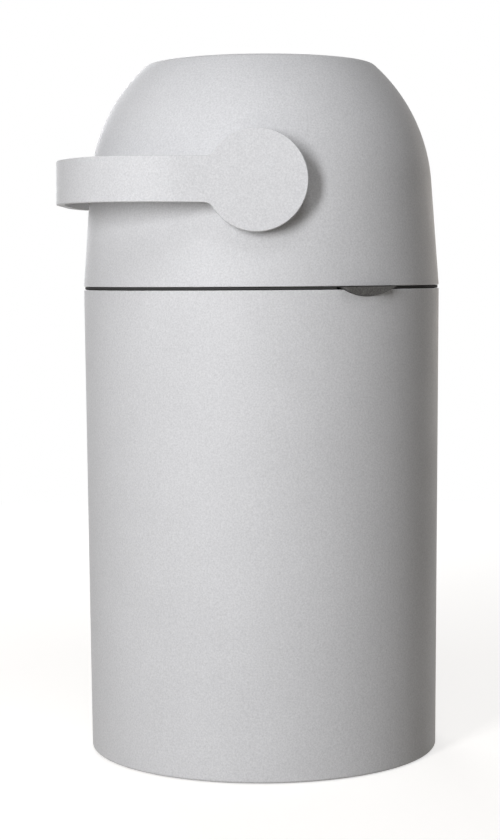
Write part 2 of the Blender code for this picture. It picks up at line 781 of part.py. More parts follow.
def small_screw(name, place, turn, finish):
    made = screw(
        name, SMALL_SCREW_RADIUS, SMALL_HEAD_RADIUS, SMALL_HEAD_HEIGHT, SMALL_SCREW_LENGTH, place, turn
    )
    return part(made, finish)


def make_latch_screws(finish):
    made = []
    height = LEDGE_HEIGHT + GAP + HOUSING_FLOOR + GAP
    for i, side in enumerate((-1, 1)):
        x, y, _ = latch_point(LATCH_SCREW_INSET, side * LATCH_SCREW_OFFSET)
        made.append(small_screw(f"latch_screw_{i + 1}", (x, y, height), (0, 0, 0), finish))
    return made


def tray_screw_points():
    reach = RIM_RADIUS - TRAY_BOSS_INSET
    first = LATCH_BEARING + math.pi / TRAY_SCREWS
    return [spread(first + 2 * math.pi * i / TRAY_SCREWS, reach) for i in range(TRAY_SCREWS)]


def make_head_shell(finish):
    top = HEAD_TOP
    seat = top - FLANGE_THICKNESS - GAP
    outline = [(FLANGE_RADIUS + GAP, top)]
    outline += head_outside() + head_inside()
    outline += [
        (OPENING_RADIUS, top - TOP_PLATE),
        (OPENING_RADIUS, seat),
        (FLANGE_RADIUS + GAP, seat),
    ]
    shell = turned("head_shell", outline, BODY_FACETS)
    pivot = (0, 0, PIVOT_HEIGHT)
    for side in (-1, 1):
        low, high = sorted((side * COLLAR_INNER_FACE, side * COLLAR_OUTER_FACE))
        collar = rod(f"bearing_collar_{side}", COLLAR_RADIUS, low, high, pivot, ACROSS, HUB_FACETS)
        collar.data.transform(Matrix.Rotation(math.pi / HUB_FACETS, 4, "Z"))
        add(shell, collar)
    reach = COLLAR_OUTER_FACE + OVERRUN
    bore_radius = BUSH_OUTER_RADIUS + GAP
    cut(shell, rod("bearing_bore", bore_radius, -reach, reach, pivot, ACROSS, HUB_FACETS))
    boss_low = TRAY_TOP + GAP
    boss_high = boss_low + TRAY_BOSS_HEIGHT
    for i, place in enumerate(tray_screw_points()):
        add(shell, rod(f"tray_boss_{i}", TRAY_BOSS_RADIUS, boss_low, boss_high, place))
        pilot_high = boss_low + SMALL_SCREW_LENGTH
        pilot = rod(f"tray_pilot_{i}", SMALL_SCREW_RADIUS + GAP, SEAM_HEIGHT, pilot_high, place)
        cut(shell, pilot)
    lug = [
        (skirt_radius(LUG_BITE) - LUG_BITE, SEAM_HEIGHT + LUG_BITE),
        (HINGE_RADIUS - LUG_BITE, HINGE_HEIGHT),
        (HINGE_RADIUS + KNUCKLE_RADIUS - LUG_BITE, HINGE_HEIGHT),
        (skirt_radius(LUG_DROP) - LUG_BITE, SEAM_HEIGHT + LUG_DROP),
    ]
    add(shell, *knuckle("head_knuckle", -HEAD_KNUCKLE_HALF, HEAD_KNUCKLE_HALF, lug))
    cut(shell, hinge_bore("head_hinge_bore"))
    return part(shell, finish)


def make_feed_collar(finish):
    top = HEAD_TOP
    flange_low = top - FLANGE_THICKNESS
    neck = OPENING_RADIUS - GAP
    seal_top = PIVOT_HEIGHT + SEAL_SEAT_RISE
    wall_low = seal_top - SEAL_WALL_DEPTH
    wall_inner = SEAL_OUTER_RADIUS + GAP
    wall_outer = wall_inner + SEAL_WALL
    shoulder = flange_low - (flange_low - seal_top) * FUNNEL_SHOULDER_SHARE
    inner = SEAL_INNER_RADIUS + GAP
    outline = [
        (MOUTH_RADIUS, top),
        (FLANGE_RADIUS, top),
        (FLANGE_RADIUS, flange_low),
        (neck, flange_low),
        (neck, top - TOP_PLATE),
        (wall_outer, shoulder),
        (wall_outer, wall_low),
        (wall_inner, wall_low),
        (wall_inner, seal_top),
        (inner, seal_top),
        (inner, seal_top + SEAL_FLANGE),
    ]
    return part(turned("feed_collar", outline, RING_FACETS), finish)


def drum_seal(name, way, finish):
    """A wedge lip that follows the drum, under the collar's flange or on the tray's."""
    seat = SEAL_SEAT_RISE - GAP
    reach = DRUM_RADIUS + GAP
    lip_outer = SEAL_INNER_RADIUS + SEAL_LIP_WIDTH
    points = [
        (SEAL_INNER_RADIUS, seat),
        (SEAL_OUTER_RADIUS, seat),
        (SEAL_OUTER_RADIUS, SEAL_SEAT_RISE - SEAL_WALL_DEPTH),
        (lip_outer, sphere_height(reach, lip_outer)),
        (SEAL_INNER_RADIUS, sphere_height(reach, SEAL_INNER_RADIUS)),
    ]
    outline = [(r, way * z) for r, z in points]
    return part(turned(name, outline, RING_FACETS, (0, 0, PIVOT_HEIGHT)), finish)


def make_head_tray(finish):
    seat = PIVOT_HEIGHT - SEAL_SEAT_RISE
    wall_inner = SEAL_OUTER_RADIUS + GAP
    wall_outer = wall_inner + SEAL_WALL
    wall_top = seat + SEAL_WALL_DEPTH
    flange_low = seat - SEAL_FLANGE
    inner = SEAL_INNER_RADIUS + GAP
    outer = skirt_radius(TRAY_TOP - SEAM_HEIGHT, WALL) - RUN_GAP
    spigot_low = SEAM_HEIGHT - SPIGOT_DEPTH
    lip_low = RIM_HEIGHT - TRAY_LIP_DEPTH
    lip_inner = outer - TRAY_LIP_WIDTH
    band_radius = RIM_RADIUS - TRAY_BAND_INSET
    band_top = SEAM_HEIGHT - GAP
    band_low = RIM_HEIGHT + GAP
    outline = [
        (inner, seat),
        (wall_inner, seat),
        (wall_inner, wall_top),
        (wall_outer, wall_top),
        (wall_outer, TRAY_TOP),
        (outer, TRAY_TOP),
        (outer, band_top),
        (band_radius, band_top),
        (band_radius, band_low),
        (outer, band_low),
        (outer, lip_low),
        (lip_inner, lip_low),
        (lip_inner, TRAY_BOTTOM),
        (SPIGOT_RADIUS, TRAY_BOTTOM),
        (SPIGOT_RADIUS, spigot_low),
        (SPIGOT_RADIUS - WALL, spigot_low),
        (SPIGOT_RADIUS - WALL, TRAY_BOTTOM),
        (wall_inner, TRAY_BOTTOM),
        (wall_inner, flange_low),
        (inner, flange_low),
    ]
    tray = turned("head_tray", outline, RING_FACETS)
    half = TAB_HALF_WIDTH + 2 * RUN_GAP
    corner = (lip_inner - OVERRUN, -half, lip_low - OVERRUN)
    far_corner = (RIM_RADIUS, half, TRAY_BOTTOM - GAP)
    cut(tray, block("tab_gap", corner, far_corner, turn=(0, 0, LATCH_BEARING)))
    rib_end = RIM_RADIUS - TRAY_BOSS_INSET - TRAY_BOSS_RADIUS - RUN_GAP
    for i in range(TRAY_RIBS):
        bearing = LATCH_BEARING + 2 * math.pi * i / TRAY_RIBS
        low = (wall_outer - SEAL_WALL / 2, -RIB_THICKNESS / 2, TRAY_TOP - TRAY_THICKNESS / 2)
        high = (rib_end, RIB_THICKNESS / 2, TRAY_TOP + TRAY_RIB_HEIGHT)
        add(tray, block(f"tray_rib_{i}", low, high, turn=(0, 0, bearing)))
    for i, place in enumerate(tray_screw_points()):
        low = TRAY_BOTTOM - OVERRUN
        hole = rod(f"tray_hole_{i}", SMALL_SCREW_RADIUS + GAP, low, TRAY_TOP + OVERRUN, place)
        cut(tray, hole)
    keeper_low = LEG_MIDDLE - LEG_HEIGHT / 2
    barb_top = keeper_low - 2 * GAP
    barb_low = barb_top - BARB_HEIGHT
    shank = HOOK_FACE - HOOK_THICKNESS
    tip = shank - BARB_REACH
    hook = [
        (shank, TRAY_BOTTOM + TRAY_THICKNESS / 2),
        (HOOK_FACE, TRAY_BOTTOM + TRAY_THICKNESS / 2),
        (HOOK_FACE, barb_low + HOOK_THICKNESS / 2),
        (HOOK_FACE - HOOK_THICKNESS / 2, barb_low),
        (shank - BARB_REACH / 2, barb_low),
        (tip, barb_top - BARB_HEIGHT / 3),
        (tip, barb_top),
        (shank, barb_top),
    ]
    turn = (math.pi / 2, 0, LATCH_BEARING)
    add(tray, plate("latch_hook", hook, -HOOK_HALF_WIDTH, HOOK_HALF_WIDTH, turn=turn))
    return part(tray, finish)


def make_rim_seal(finish):
    low = BAG_RING_TOP + GAP
    high = SEAM_HEIGHT - SPIGOT_DEPTH - GAP
    middle = SPIGOT_RADIUS - WALL / 2
    half = RIM_SEAL_WIDTH / 2
    step = half / 3
    outline = [
        (middle - half + step, high),
        (middle + half - step, high),
        (middle + half, high - step),
        (middle + half, low + step),
        (middle + half - step, low),
        (middle - half + step, low),
        (middle - half, low + step),
        (middle - half, high - step),
    ]
    return part(turned("rim_seal", outline, RING_FACETS), finish)


def make_tray_screws(finish):
    made = []
    for i, (x, y, _) in enumerate(tray_screw_points()):
        place = (x, y, TRAY_BOTTOM - GAP)
        made.append(small_screw(f"tray_screw_{i + 1}", place, (math.pi, 0, 0), finish))
    return made


def side_outline(side, outline):
    """Mirrors an outline of (radius, reach along X) points to one side."""
    return [(r, side * a) for r, a in outline]


def make_bush(name, side, finish):
    face = BUSH_FACE + BUSH_FLANGE
    outline = [
        (BUSH_RADIUS, face),
        (BUSH_FLANGE_RADIUS, face),
        (BUSH_FLANGE_RADIUS, BUSH_FACE),
        (BUSH_OUTER_RADIUS, BUSH_FACE),
        (BUSH_OUTER_RADIUS, COLLAR_INNER_FACE + GAP),
        (BUSH_RADIUS, COLLAR_INNER_FACE + GAP),
    ]
    pivot = (0, 0, PIVOT_HEIGHT)
    bush = turned(name, side_outline(side, outline), HUB_FACETS, pivot, ACROSS)
    drop = (LUG_HALF_WIDTH + GAP) / BUSH_FLANGE_RADIUS
    inner = (BUSH_FLANGE_RADIUS + BUSH_OUTER_RADIUS) / 2
    ring = arc((0, 0), STOP_RADIUS, math.pi + drop, 2 * math.pi - drop, 8)
    ring += arc((0, 0), inner, 2 * math.pi - drop, math.pi + drop, 8)
    low, high = sorted((side * BUSH_FACE, side * face))
    add(bush, plate(name + "_stop", ring, low, high, pivot, ACROSS))
    return part(bush, finish)


def make_drum_barrel(finish):
    end = DRUM_HALF_LENGTH
    lip = end - LIP_THICKNESS
    rim = sphere_height(DRUM_RADIUS, end)
    seat = LIP_RADIUS + RETAINER_WIDTH + GAP
    turn_in = math.atan2(end, rim)
    outline = [(BORE_RADIUS, lip), (seat, lip), (seat, end)]
    outline += arc((0, 0), DRUM_RADIUS, turn_in, -turn_in, 8)
    outline += [(LIP_RADIUS, -end), (LIP_RADIUS, -lip), (BORE_RADIUS, -lip)]
    pivot = (0, 0, PIVOT_HEIGHT)
    barrel = turned("drum_barrel", outline, RING_FACETS, pivot)
    hollow_end = end - HOLLOW_END_MARGIN
    skin = DRUM_RADIUS - DRUM_SKIN
    hollow_turn = math.asin(hollow_end / skin)
    tube = BORE_RADIUS + BORE_WALL
    hollow = arc((0, 0), skin, hollow_turn, -hollow_turn, 6)
    hollow += [(tube, -hollow_end), (tube, hollow_end)]
    cut(barrel, turned("drum_hollow", hollow, RING_FACETS, pivot))
    for side in (-1, 1):
        low_x, high_x = sorted((side * CAP_PLANE, side * (DRUM_RADIUS + OVERRUN)))
        size = DRUM_RADIUS
        cut(barrel, block(f"drum_side_{side}", (low_x, -size, -size), (high_x, size, size), pivot))
        low, high = sorted((side * (CAP_PLANE - CAP_SPIGOT_DEPTH - GAP), side * DRUM_RADIUS))
        seat = rod(f"cap_seat_{side}", CAP_SPIGOT_RADIUS + GAP, low, high, pivot, ACROSS, RING_FACETS)
        cut(barrel, seat)
    for place, side, tag in cap_screw_places():
        near = BORE_RADIUS + BORE_WALL / 2
        low, high = sorted((side * near, side * (CAP_PAD_FACE - GAP)))
        add(barrel, rod("cap_column_" + tag, CAP_COLUMN_RADIUS, low, high, place, ACROSS))
        low, high = sorted((side * (near + BORE_WALL), side * DRUM_RADIUS))
        cut(barrel, rod("cap_pilot_" + tag, SMALL_SCREW_RADIUS + GAP, low, high, place, ACROSS))
    return part(barrel, finish)


def cap_screw_places():
    places = []
    for side in (-1, 1):
        for way in (-1, 1):
            height = PIVOT_HEIGHT + way * CAP_SCREW_OFFSET
            places.append(((0, 0, height), side, f"{side}_{way}"))
    return places


def make_drum_cap(name, side, finish):
    skin = DRUM_RADIUS - DRUM_SKIN
    plane = CAP_PLANE + GAP
    rim = sphere_height(DRUM_RADIUS, plane)
    spigot = CAP_SPIGOT_RADIUS
    spigot_inner = spigot - CAP_SPIGOT_WALL
    tube = TRUNNION_RADIUS - TRUNNION_WALL
    hole = HUB_SCREW_RADIUS + GAP
    end_wall = TRUNNION_END - TRUNNION_WALL
    outline = [(hole, TRUNNION_END), (TRUNNION_RADIUS, TRUNNION_END)]
    start = math.asin(TRUNNION_RADIUS / DRUM_RADIUS)
    outer = arc((0, 0), DRUM_RADIUS, start, math.asin(rim / DRUM_RADIUS), 3)
    outline += [(b, a) for a, b in outer]
    outline += [(spigot, plane), (spigot, plane - CAP_SPIGOT_DEPTH)]
    outline += [(spigot_inner, plane - CAP_SPIGOT_DEPTH)]
    inner = arc((0, 0), skin, math.asin(spigot_inner / skin), math.asin(tube / skin), 2)
    outline += [(b, a) for a, b in inner]
    outline += [(tube, end_wall), (hole, end_wall)]
    pivot = (0, 0, PIVOT_HEIGHT)
    cap = turned(name, side_outline(side, outline), RING_FACETS, pivot, ACROSS)
    for way in (-1, 1):
        low_x, high_x = sorted((side * (TRUNNION_END - KEY_LENGTH), side * (TRUNNION_END + OVERRUN)))
        low_z, high_z = sorted((way * KEY_HALF_HEIGHT, way * (TRUNNION_RADIUS + OVERRUN)))
        size = TRUNNION_RADIUS + OVERRUN
        cut(cap, block(f"{name}_flat_{way}", (low_x, -size, low_z), (high_x, size, high_z), pivot))
    for place, which, tag in cap_screw_places():
        if which == side:
            surface = sphere_height(DRUM_RADIUS, CAP_SCREW_OFFSET)
            low, high = sorted((side * CAP_PAD_FACE, side * (surface - DRUM_SKIN / 2)))
            add(cap, rod("cap_pad_" + tag, CAP_PAD_RADIUS, low, high, place, ACROSS))
            seat = CAP_HEAD_SEAT - GAP
            low, high = sorted((side * seat, side * (DRUM_RADIUS + OVERRUN)))
            well = SMALL_HEAD_RADIUS + RUN_GAP
            cut(cap, rod("cap_well_" + tag, well, low, high, place, ACROSS, HUB_FACETS // 2))
            low, high = sorted((side * (CAP_PAD_FACE - OVERRUN), side * DRUM_RADIUS))
            cut(cap, rod("cap_hole_" + tag, SMALL_SCREW_RADIUS + GAP, low, high, place, ACROSS))
    return part(cap, finish)


def make_cap_screws(finish):
    made = []
    for i, (place, side, _) in enumerate(cap_screw_places()):
        x = side * CAP_HEAD_SEAT
        turn = (0, side * math.pi / 2, 0)
        made.append(small_screw(f"cap_screw_{i + 1}", (x, 0, place[2]), turn, finish))
    return made


def make_retainer(finish):
    outer = LIP_RADIUS + RETAINER_WIDTH
    low = DRUM_HALF_LENGTH - LIP_THICKNESS + GAP
    outline = [
        (LIP_RADIUS, DRUM_HALF_LENGTH),
        (outer, DRUM_HALF_LENGTH),
        (outer, low),
        (LIP_RADIUS, low),
    ]
    ring = turned("piston_retainer", outline, RING_FACETS, (0, 0, PIVOT_HEIGHT))
    return part(ring, finish)


def make_hub_screw(name, side, finish):
    seat = TRUNNION_END - TRUNNION_WALL - GAP - WASHER_THICKNESS - GAP
    place = (side * seat, 0, PIVOT_HEIGHT)
    turn = (0, -side * math.pi / 2, 0)
    made = screw(
        name, HUB_SCREW_RADIUS, HUB_HEAD_RADIUS, HUB_HEAD_HEIGHT, HUB_SCREW_LENGTH, place, turn
    )
    return part(made, finish)


def make_hub_washer(name, side, finish):
    high = TRUNNION_END - TRUNNION_WALL - GAP
    outline = [
        (HUB_SCREW_RADIUS + GAP, high),
        (WASHER_RADIUS, high),
        (WASHER_RADIUS, high - WASHER_THICKNESS),
        (HUB_SCREW_RADIUS + GAP, high - WASHER_THICKNESS),
    ]
    pivot = (0, 0, PIVOT_HEIGHT)
    washer = turned(name, side_outline(side, outline), 2 * SMALL_FACETS, pivot, ACROSS)
    return part(washer, finish)


def handle_side_view():
    """Outline of one arm and its disc, seen along the pivot, with the handle reaching to -X."""
    half = HANDLE_WIDTH / 2
    fillet = math.sqrt((DISC_RADIUS + NECK_FILLET) ** 2 - (half + NECK_FILLET) ** 2)
    lean = math.atan2(half + NECK_FILLET, fillet)
    far = -HANDLE_REACH - OVERRUN
    upper = [(far, half)]
    upper += arc((-fillet, half + NECK_FILLET), NECK_FILLET, -math.pi / 2, -lean, 4)
    disc = arc((0, 0), DISC_RADIUS, math.pi - lean, lean - math.pi, 28)
    lower = [(x, -y) for x, y in reversed(upper)]
    return upper + disc[1:-1] + lower


def handle_plan_view(inset):
    """Half of the handle's outline from above, from the disc's end round to the middle of the bar."""
    centre = (HANDLE_HALF_SPAN - CORNER_WIDTH, CORNER_LENGTH - HANDLE_REACH)
    long = CORNER_LENGTH - inset
    wide = CORNER_WIDTH - inset
    steps = 10
    points = [(HANDLE_HALF_SPAN - inset, DISC_RADIUS + OVERRUN)]
    for i in range(steps + 1):
        angle = math.pi / 2 * i / steps
        points.append((centre[0] + wide * math.cos(angle), centre[1] - long * math.sin(angle)))
    return points


def make_handle(finish):
    pivot = (0, 0, PIVOT_HEIGHT)
    tilt = Matrix.Rotation(-HANDLE_TILT, 4, "X")
    outside = handle_plan_view(0)
    inside = handle_plan_view(HANDLE_THICKNESS)
    outside += [(-x, y) for x, y in reversed(outside)]
    inside += [(-x, y) for x, y in reversed(inside)]
    handle = plate("handle", outside + inside[::-1], -DISC_RADIUS - OVERRUN, DISC_RADIUS + OVERRUN, pivot)
    handle.data.transform(tilt)
    reach = HANDLE_HALF_SPAN + OVERRUN
    side_view = plate("handle_side", handle_side_view(), -reach, reach, pivot, ACROSS)
    side_view.data.transform(Matrix.Rotation(-HANDLE_TILT, 4, "Z"))
    keep_inside(handle, side_view)
    soften(handle, HANDLE_EDGE)
    for side in (-1, 1):
        hub_low = TRUNNION_END - KEY_LENGTH + GAP
        low, high = sorted((side * hub_low, side * (HUB_BACK + HANDLE_THICKNESS / 2)))
        add(handle, rod(f"hub_{side}", HUB_RADIUS, low, high, pivot, ACROSS, HUB_FACETS))
        low_x, high_x = sorted((side * (HUB_BACK - LUG_LENGTH), side * (HUB_BACK + HANDLE_THICKNESS / 2)))
        inner = BUSH_FLANGE_RADIUS + RUN_GAP
        corner = (low_x, -STOP_RADIUS, -LUG_HALF_WIDTH)
        add(handle, block(f"stop_lug_{side}", corner, (high_x, -inner, LUG_HALF_WIDTH), pivot))
        socket = key_outline(TRUNNION_RADIUS + GAP, KEY_HALF_HEIGHT + GAP)
        low, high = sorted((side * (hub_low - OVERRUN), side * (TRUNNION_END + GAP)))
        cut(handle, plate(f"hub_socket_{side}", socket, low, high, pivot, ACROSS))
        deep = TRUNNION_END + HUB_SCREW_LENGTH - TRUNNION_WALL
        low, high = sorted((side * hub_low, side * deep))
        cut(handle, rod(f"hub_pilot_{side}", HUB_SCREW_RADIUS + GAP, low, high, pivot, ACROSS))
    return part(handle, finish)


def key_outline(radius, half_height):
    """A circle with two flats, as on the ends of the trunnions."""
    lean = math.asin(half_height / radius)
    right = arc((0, 0), radius, -lean, lean, 8)
    left = arc((0, 0), radius, math.pi - lean, math.pi + lean, 8)
    return right + left


def make_piston(finish, seal_finish, screw_finish):
    half = PISTON_HEIGHT / 2
    joint = PISTON_SEAL_THICKNESS / 2 + GAP
    inner = PISTON_RADIUS - PISTON_WALL
    boss = PISTON_BOSS_RADIUS
    deck = half - PISTON_WALL
    middle = (0, 0, PIVOT_HEIGHT + PISTON_MIDDLE)
    hole = SMALL_SCREW_RADIUS + GAP
    well = SMALL_HEAD_RADIUS + GAP
    well_top = -half + SMALL_HEAD_HEIGHT + 2 * GAP
    rim = [
        (PISTON_RADIUS, half - PISTON_CHAMFER),
        (PISTON_RADIUS, joint),
        (inner, joint),
        (inner, deck),
        (boss, deck),
        (boss, GAP / 2),
    ]
    upper = [(0, half), (PISTON_RADIUS - PISTON_CHAMFER, half)] + rim
    upper += [(hole, GAP / 2), (hole, deck), (0, deck)]
    lower = [(well, -half), (PISTON_RADIUS - PISTON_CHAMFER, -half)]
    lower += [(r, -z) for r, z in rim]
    lower += [(hole, -GAP / 2), (hole, well_top), (well, well_top)]
    outer = BORE_RADIUS - RUN_GAP
    seal = [
        (outer - PISTON_SEAL_WIDTH, PISTON_SEAL_THICKNESS / 2),
        (outer, PISTON_SEAL_THICKNESS / 2),
        (outer, -PISTON_SEAL_THICKNESS / 2),
        (outer - PISTON_SEAL_WIDTH, -PISTON_SEAL_THICKNESS / 2),
    ]
    place = (0, 0, middle[2] + well_top - GAP)
    fixing = small_screw("piston_screw", place, (math.pi, 0, 0), screw_finish)
    return [
        part(turned("piston_upper", upper, RING_FACETS, middle), finish),
        part(turned("piston_lower", lower, RING_FACETS, middle), finish),
        part(turned("piston_seal", seal, RING_FACETS, middle), seal_finish),
        fixing,
    ]


def carry(name, place, pieces, parent=None):
    """An empty on a joint's axis that carries the pieces moving there."""
    frame = bpy.data.objects.new(name, None)
    frame.location = at_axis(place)
    PARTS.objects.link(frame)
    bpy.context.view_layer.update()
    for piece in pieces:
        piece.parent = frame
        piece.matrix_parent_inverse = frame.matrix_world.inverted()
    if parent:
        frame.parent = parent
        frame.matrix_parent_inverse = parent.matrix_world.inverted()
    return frame


def build():
    silver = finish_material("satin_silver", (0.66, 0.665, 0.67), 0.42)
    grey = finish_material("mid_grey", (0.36, 0.365, 0.37), 0.5)
    dark = finish_material("dark_grey", (0.07, 0.07, 0.075), 0.45)
    slate = finish_material("slate_grey", (0.16, 0.155, 0.15), 0.45)
    rubber = finish_material("rubber", (0.03, 0.03, 0.032), 0.8)
    steel = finish_material("steel", (0.55, 0.55, 0.56), 0.3, 1.0)
    pail = [make_pail(silver), make_bag_ring(grey), make_hinge_pin(steel), make_latch_housing(grey)]
    pail += [make_spring(steel), *make_latch_screws(steel), *make_foot_pads(rubber)]
    head = [make_head_shell(silver), make_feed_collar(grey), make_head_tray(dark)]
    head += [drum_seal("upper_seal", 1, rubber), drum_seal("lower_seal", -1, rubber)]
    head += [make_rim_seal(rubber), *make_tray_screws(steel)]
    head += [make_bush("bearing_bush_right", 1, dark), make_bush("bearing_bush_left", -1, dark)]
    drum = [make_handle(silver), make_drum_barrel(grey), make_retainer(grey)]
    drum += [make_drum_cap("drum_cap_right", 1, grey), make_drum_cap("drum_cap_left", -1, grey)]
    drum += make_cap_screws(steel)
    for side, word in ((1, "right"), (-1, "left")):
        drum.append(make_hub_screw("hub_screw_" + word, side, steel))
        drum.append(make_hub_washer("hub_washer_" + word, side, steel))
    piston = make_piston(grey, rubber, steel)
    button = [make_button(slate)]
    base = carry("pail_frame", (0, 0, 0), pail)
    hinge = carry("head_hinge", spread(HINGE_BEARING, HINGE_RADIUS, HINGE_HEIGHT), head, base)
    pivot = carry("handle_pivot", (0, 0, PIVOT_HEIGHT), drum, hinge)
    carry("piston_slide", (0, 0, PIVOT_HEIGHT + PISTON_MIDDLE), piston, pivot)
    carry("button_slide", spread(LATCH_BEARING, TAB_BACK, LEG_MIDDLE), button, base)


build()
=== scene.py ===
"""The nappy bin dressed: each piece made finer on its CAD body, with finishes, light and camera."""

import json
from math import acos, asin, atan2, ceil, cos, hypot, pi, radians, sin, sqrt

import bmesh
import bpy
from mathutils import Matrix, Vector

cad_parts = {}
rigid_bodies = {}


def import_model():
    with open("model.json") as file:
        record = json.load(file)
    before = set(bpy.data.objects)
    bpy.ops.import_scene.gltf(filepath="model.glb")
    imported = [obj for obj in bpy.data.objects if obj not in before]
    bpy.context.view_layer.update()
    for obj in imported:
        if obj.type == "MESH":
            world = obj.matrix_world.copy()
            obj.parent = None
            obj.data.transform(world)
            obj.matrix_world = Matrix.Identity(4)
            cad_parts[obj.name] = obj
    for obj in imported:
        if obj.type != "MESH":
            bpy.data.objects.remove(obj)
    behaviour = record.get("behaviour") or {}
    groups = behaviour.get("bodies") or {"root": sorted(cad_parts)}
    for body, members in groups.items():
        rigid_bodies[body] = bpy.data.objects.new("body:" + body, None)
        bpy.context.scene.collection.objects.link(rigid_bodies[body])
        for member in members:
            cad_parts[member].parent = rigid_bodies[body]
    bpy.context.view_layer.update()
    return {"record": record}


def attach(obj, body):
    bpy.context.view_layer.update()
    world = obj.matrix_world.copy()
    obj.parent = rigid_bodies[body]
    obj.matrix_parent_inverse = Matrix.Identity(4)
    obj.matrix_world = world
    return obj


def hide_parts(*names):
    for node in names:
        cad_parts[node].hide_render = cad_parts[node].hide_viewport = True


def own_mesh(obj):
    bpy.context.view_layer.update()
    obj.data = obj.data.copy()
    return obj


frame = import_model()

# Fits shared by every piece
GAP = 0.0003
RUN_GAP = 0.0005
OVERRUN = 0.004
WELD = 0.00001

# Facets of round pieces, and steps of their arcs
BODY_FACETS = 192
RING_FACETS = 128
HUB_FACETS = 96
MIDDLE_FACETS = 64
PAD_FACETS = 48
SMALL_FACETS = 32
FILLET_STEPS = 8
DOME_STEPS = 28
DOME_INSIDE_STEPS = 20
TAB_STEPS = 48
RING_STEPS = 32
HOLLOW_STEPS = 24
CAP_STEPS = 12
NECK_STEPS = 16
DISC_STEPS = 112
CORNER_STEPS = 40
SPRING_STEPS = 32
WIRE_ROUNDING = 3

# Softened edges, and what keeps the shading even
EDGE = 0.0006
EDGE_STEPS = 3
EDGE_SHARE = 0.4
LEAST_EDGE = 0.00008
LEAST_TURN = radians(25)
LEAST_LENGTH = WELD / 10
JOIN_STEPS = 2
BEVEL_TURN = radians(50)
SHARP_TURN = radians(38)
LONG_SPAN = 0.008
NORMAL_WEIGHT = 80

# Outer form, taken from the photograph
RIM_RADIUS = 0.1325
TAPER = 0.0023
SEAM_HEIGHT = 0.3467
SEAM_GAP = 0.0024
DOME_INSET = 0.0052
DOME_CENTRE_RISE = 0.0673
DOME_TOP_SHARE = 0.7541
DOME_EDGE_RADIUS = 0.008
PIVOT_ABOVE_CENTRE = 0.0053
WALL = 0.0025

# Pail
PAD_PROUD = 0.0006
FOOT_WIDTH = 0.005
FOOT_CORNER = 0.002
BASE_RECESS = 0.0065
FLOOR_FILLET = 0.006
RIB_THICKNESS = 0.002
RIB_DEPTH = 0.0042
RIB_BARS = 4
LEDGE_DEPTH = 0.015
LEDGE_WIDTH = 0.0055
LEDGE_THICKNESS = 0.003
PAD_RADIUS = 0.007
PAD_COUNT = 4
PAD_TURN = pi / 8

# Bag ring
BAG_RING_WIDTH = 0.0372
BAG_NECK = 0.006
BAG_RING_THICKNESS = 0.0027
BAG_SKIRT_DEPTH = 0.033
FINGER_NOTCH_RADIUS = 0.011

# Hinge between pail and head
HINGE_BEARING = radians(215)
KNUCKLE_RADIUS = 0.005
HINGE_STANDOFF = 0.0055
PIN_RADIUS = 0.002
PIN_HEAD_RADIUS = 0.0032
PIN_HEAD_LENGTH = 0.0016
HEAD_KNUCKLE_HALF = 0.009
PAIL_KNUCKLE_LENGTH = 0.0117
LUG_DROP = 0.020
LUG_BITE = 0.002

# Latch
LATCH_BEARING = radians(35)
TAB_HALF_WIDTH = 0.023
TAB_DROP = 0.007
TAB_PROUD = 0.005
TAB_TOP_GAP = 0.0004
TAB_LIP = 0.0016
TAB_BACK_DEPTH = 0.0045
LEG_OFFSET = 0.0095
LEG_WIDTH = 0.003
LEG_HEIGHT = 0.003
KEEPER_DEPTH = 0.003
HOOK_HALF_WIDTH = 0.005
HOOK_THICKNESS = 0.0025
BARB_REACH = 0.0042
BARB_HEIGHT = 0.0037
HOOK_TO_WEB = 0.0015
WEB_THICKNESS = 0.0022
WEB_TO_TAB = 0.0063
HOUSING_HALF_WIDTH = 0.017
HOUSING_FLOOR = 0.0025
EAR_LENGTH = 0.010
LATCH_SCREW_OFFSET = 0.0223
LATCH_SCREW_INSET = 0.0045
SPRING_RADIUS = 0.0016
SPRING_WIRE_RADIUS = 0.00028
SPRING_TURNS = 6
SPRING_POCKET_DEPTH = 0.006

# Head
TOP_RIM = 0.0049
FLANGE_LAND = 0.003
MOUTH_WALL = 0.002
FLANGE_THICKNESS = 0.0018
TOP_PLATE = 0.0046
COLLAR_WALL = 0.0032
COLLAR_LENGTH = 0.019
TRAY_BOSS_RADIUS = 0.005
TRAY_BOSS_HEIGHT = 0.033
TRAY_BOSS_INSET = 0.009
TRAY_SCREWS = 4
TRAY_RISE = 0.002
TRAY_THICKNESS = 0.0025
TRAY_RIBS = 8
TRAY_RIB_HEIGHT = 0.006
SPIGOT_INSET = 0.032
SPIGOT_DEPTH = 0.006
TRAY_LIP_DEPTH = 0.0015
TRAY_LIP_WIDTH = 0.0016
TRAY_BAND_INSET = 0.0008
RIM_SEAL_WIDTH = 0.0055

# Drum, in shares of the dome's radius and of its own
DRUM_SHARE = 0.707
BORE_SHARE = 0.6444
DRUM_LENGTH_SHARE = 0.7167
CAP_PLANE_SHARE = 0.7778
CAP_SCREW_SHARE = 0.4222
DRUM_SKIN = 0.0025
BORE_WALL = 0.0028
LIP_WIDTH = 0.004
LIP_THICKNESS = 0.003
RETAINER_WIDTH = 0.006
HOLLOW_END_MARGIN = 0.0075
CAP_SPIGOT_DEPTH = 0.004
CAP_SPIGOT_WALL = 0.0025
CAP_SPIGOT_INSET = 0.001
CAP_PAD_RADIUS = 0.006
CAP_COLUMN_RADIUS = 0.0045
CAP_PAD_DEPTH = 0.0037
CAP_PAD_THICKNESS = 0.0028
TRUNNION_RADIUS = 0.017
TRUNNION_WALL = 0.0035
KEY_LENGTH = 0.006
KEY_HALF_HEIGHT = 0.0132

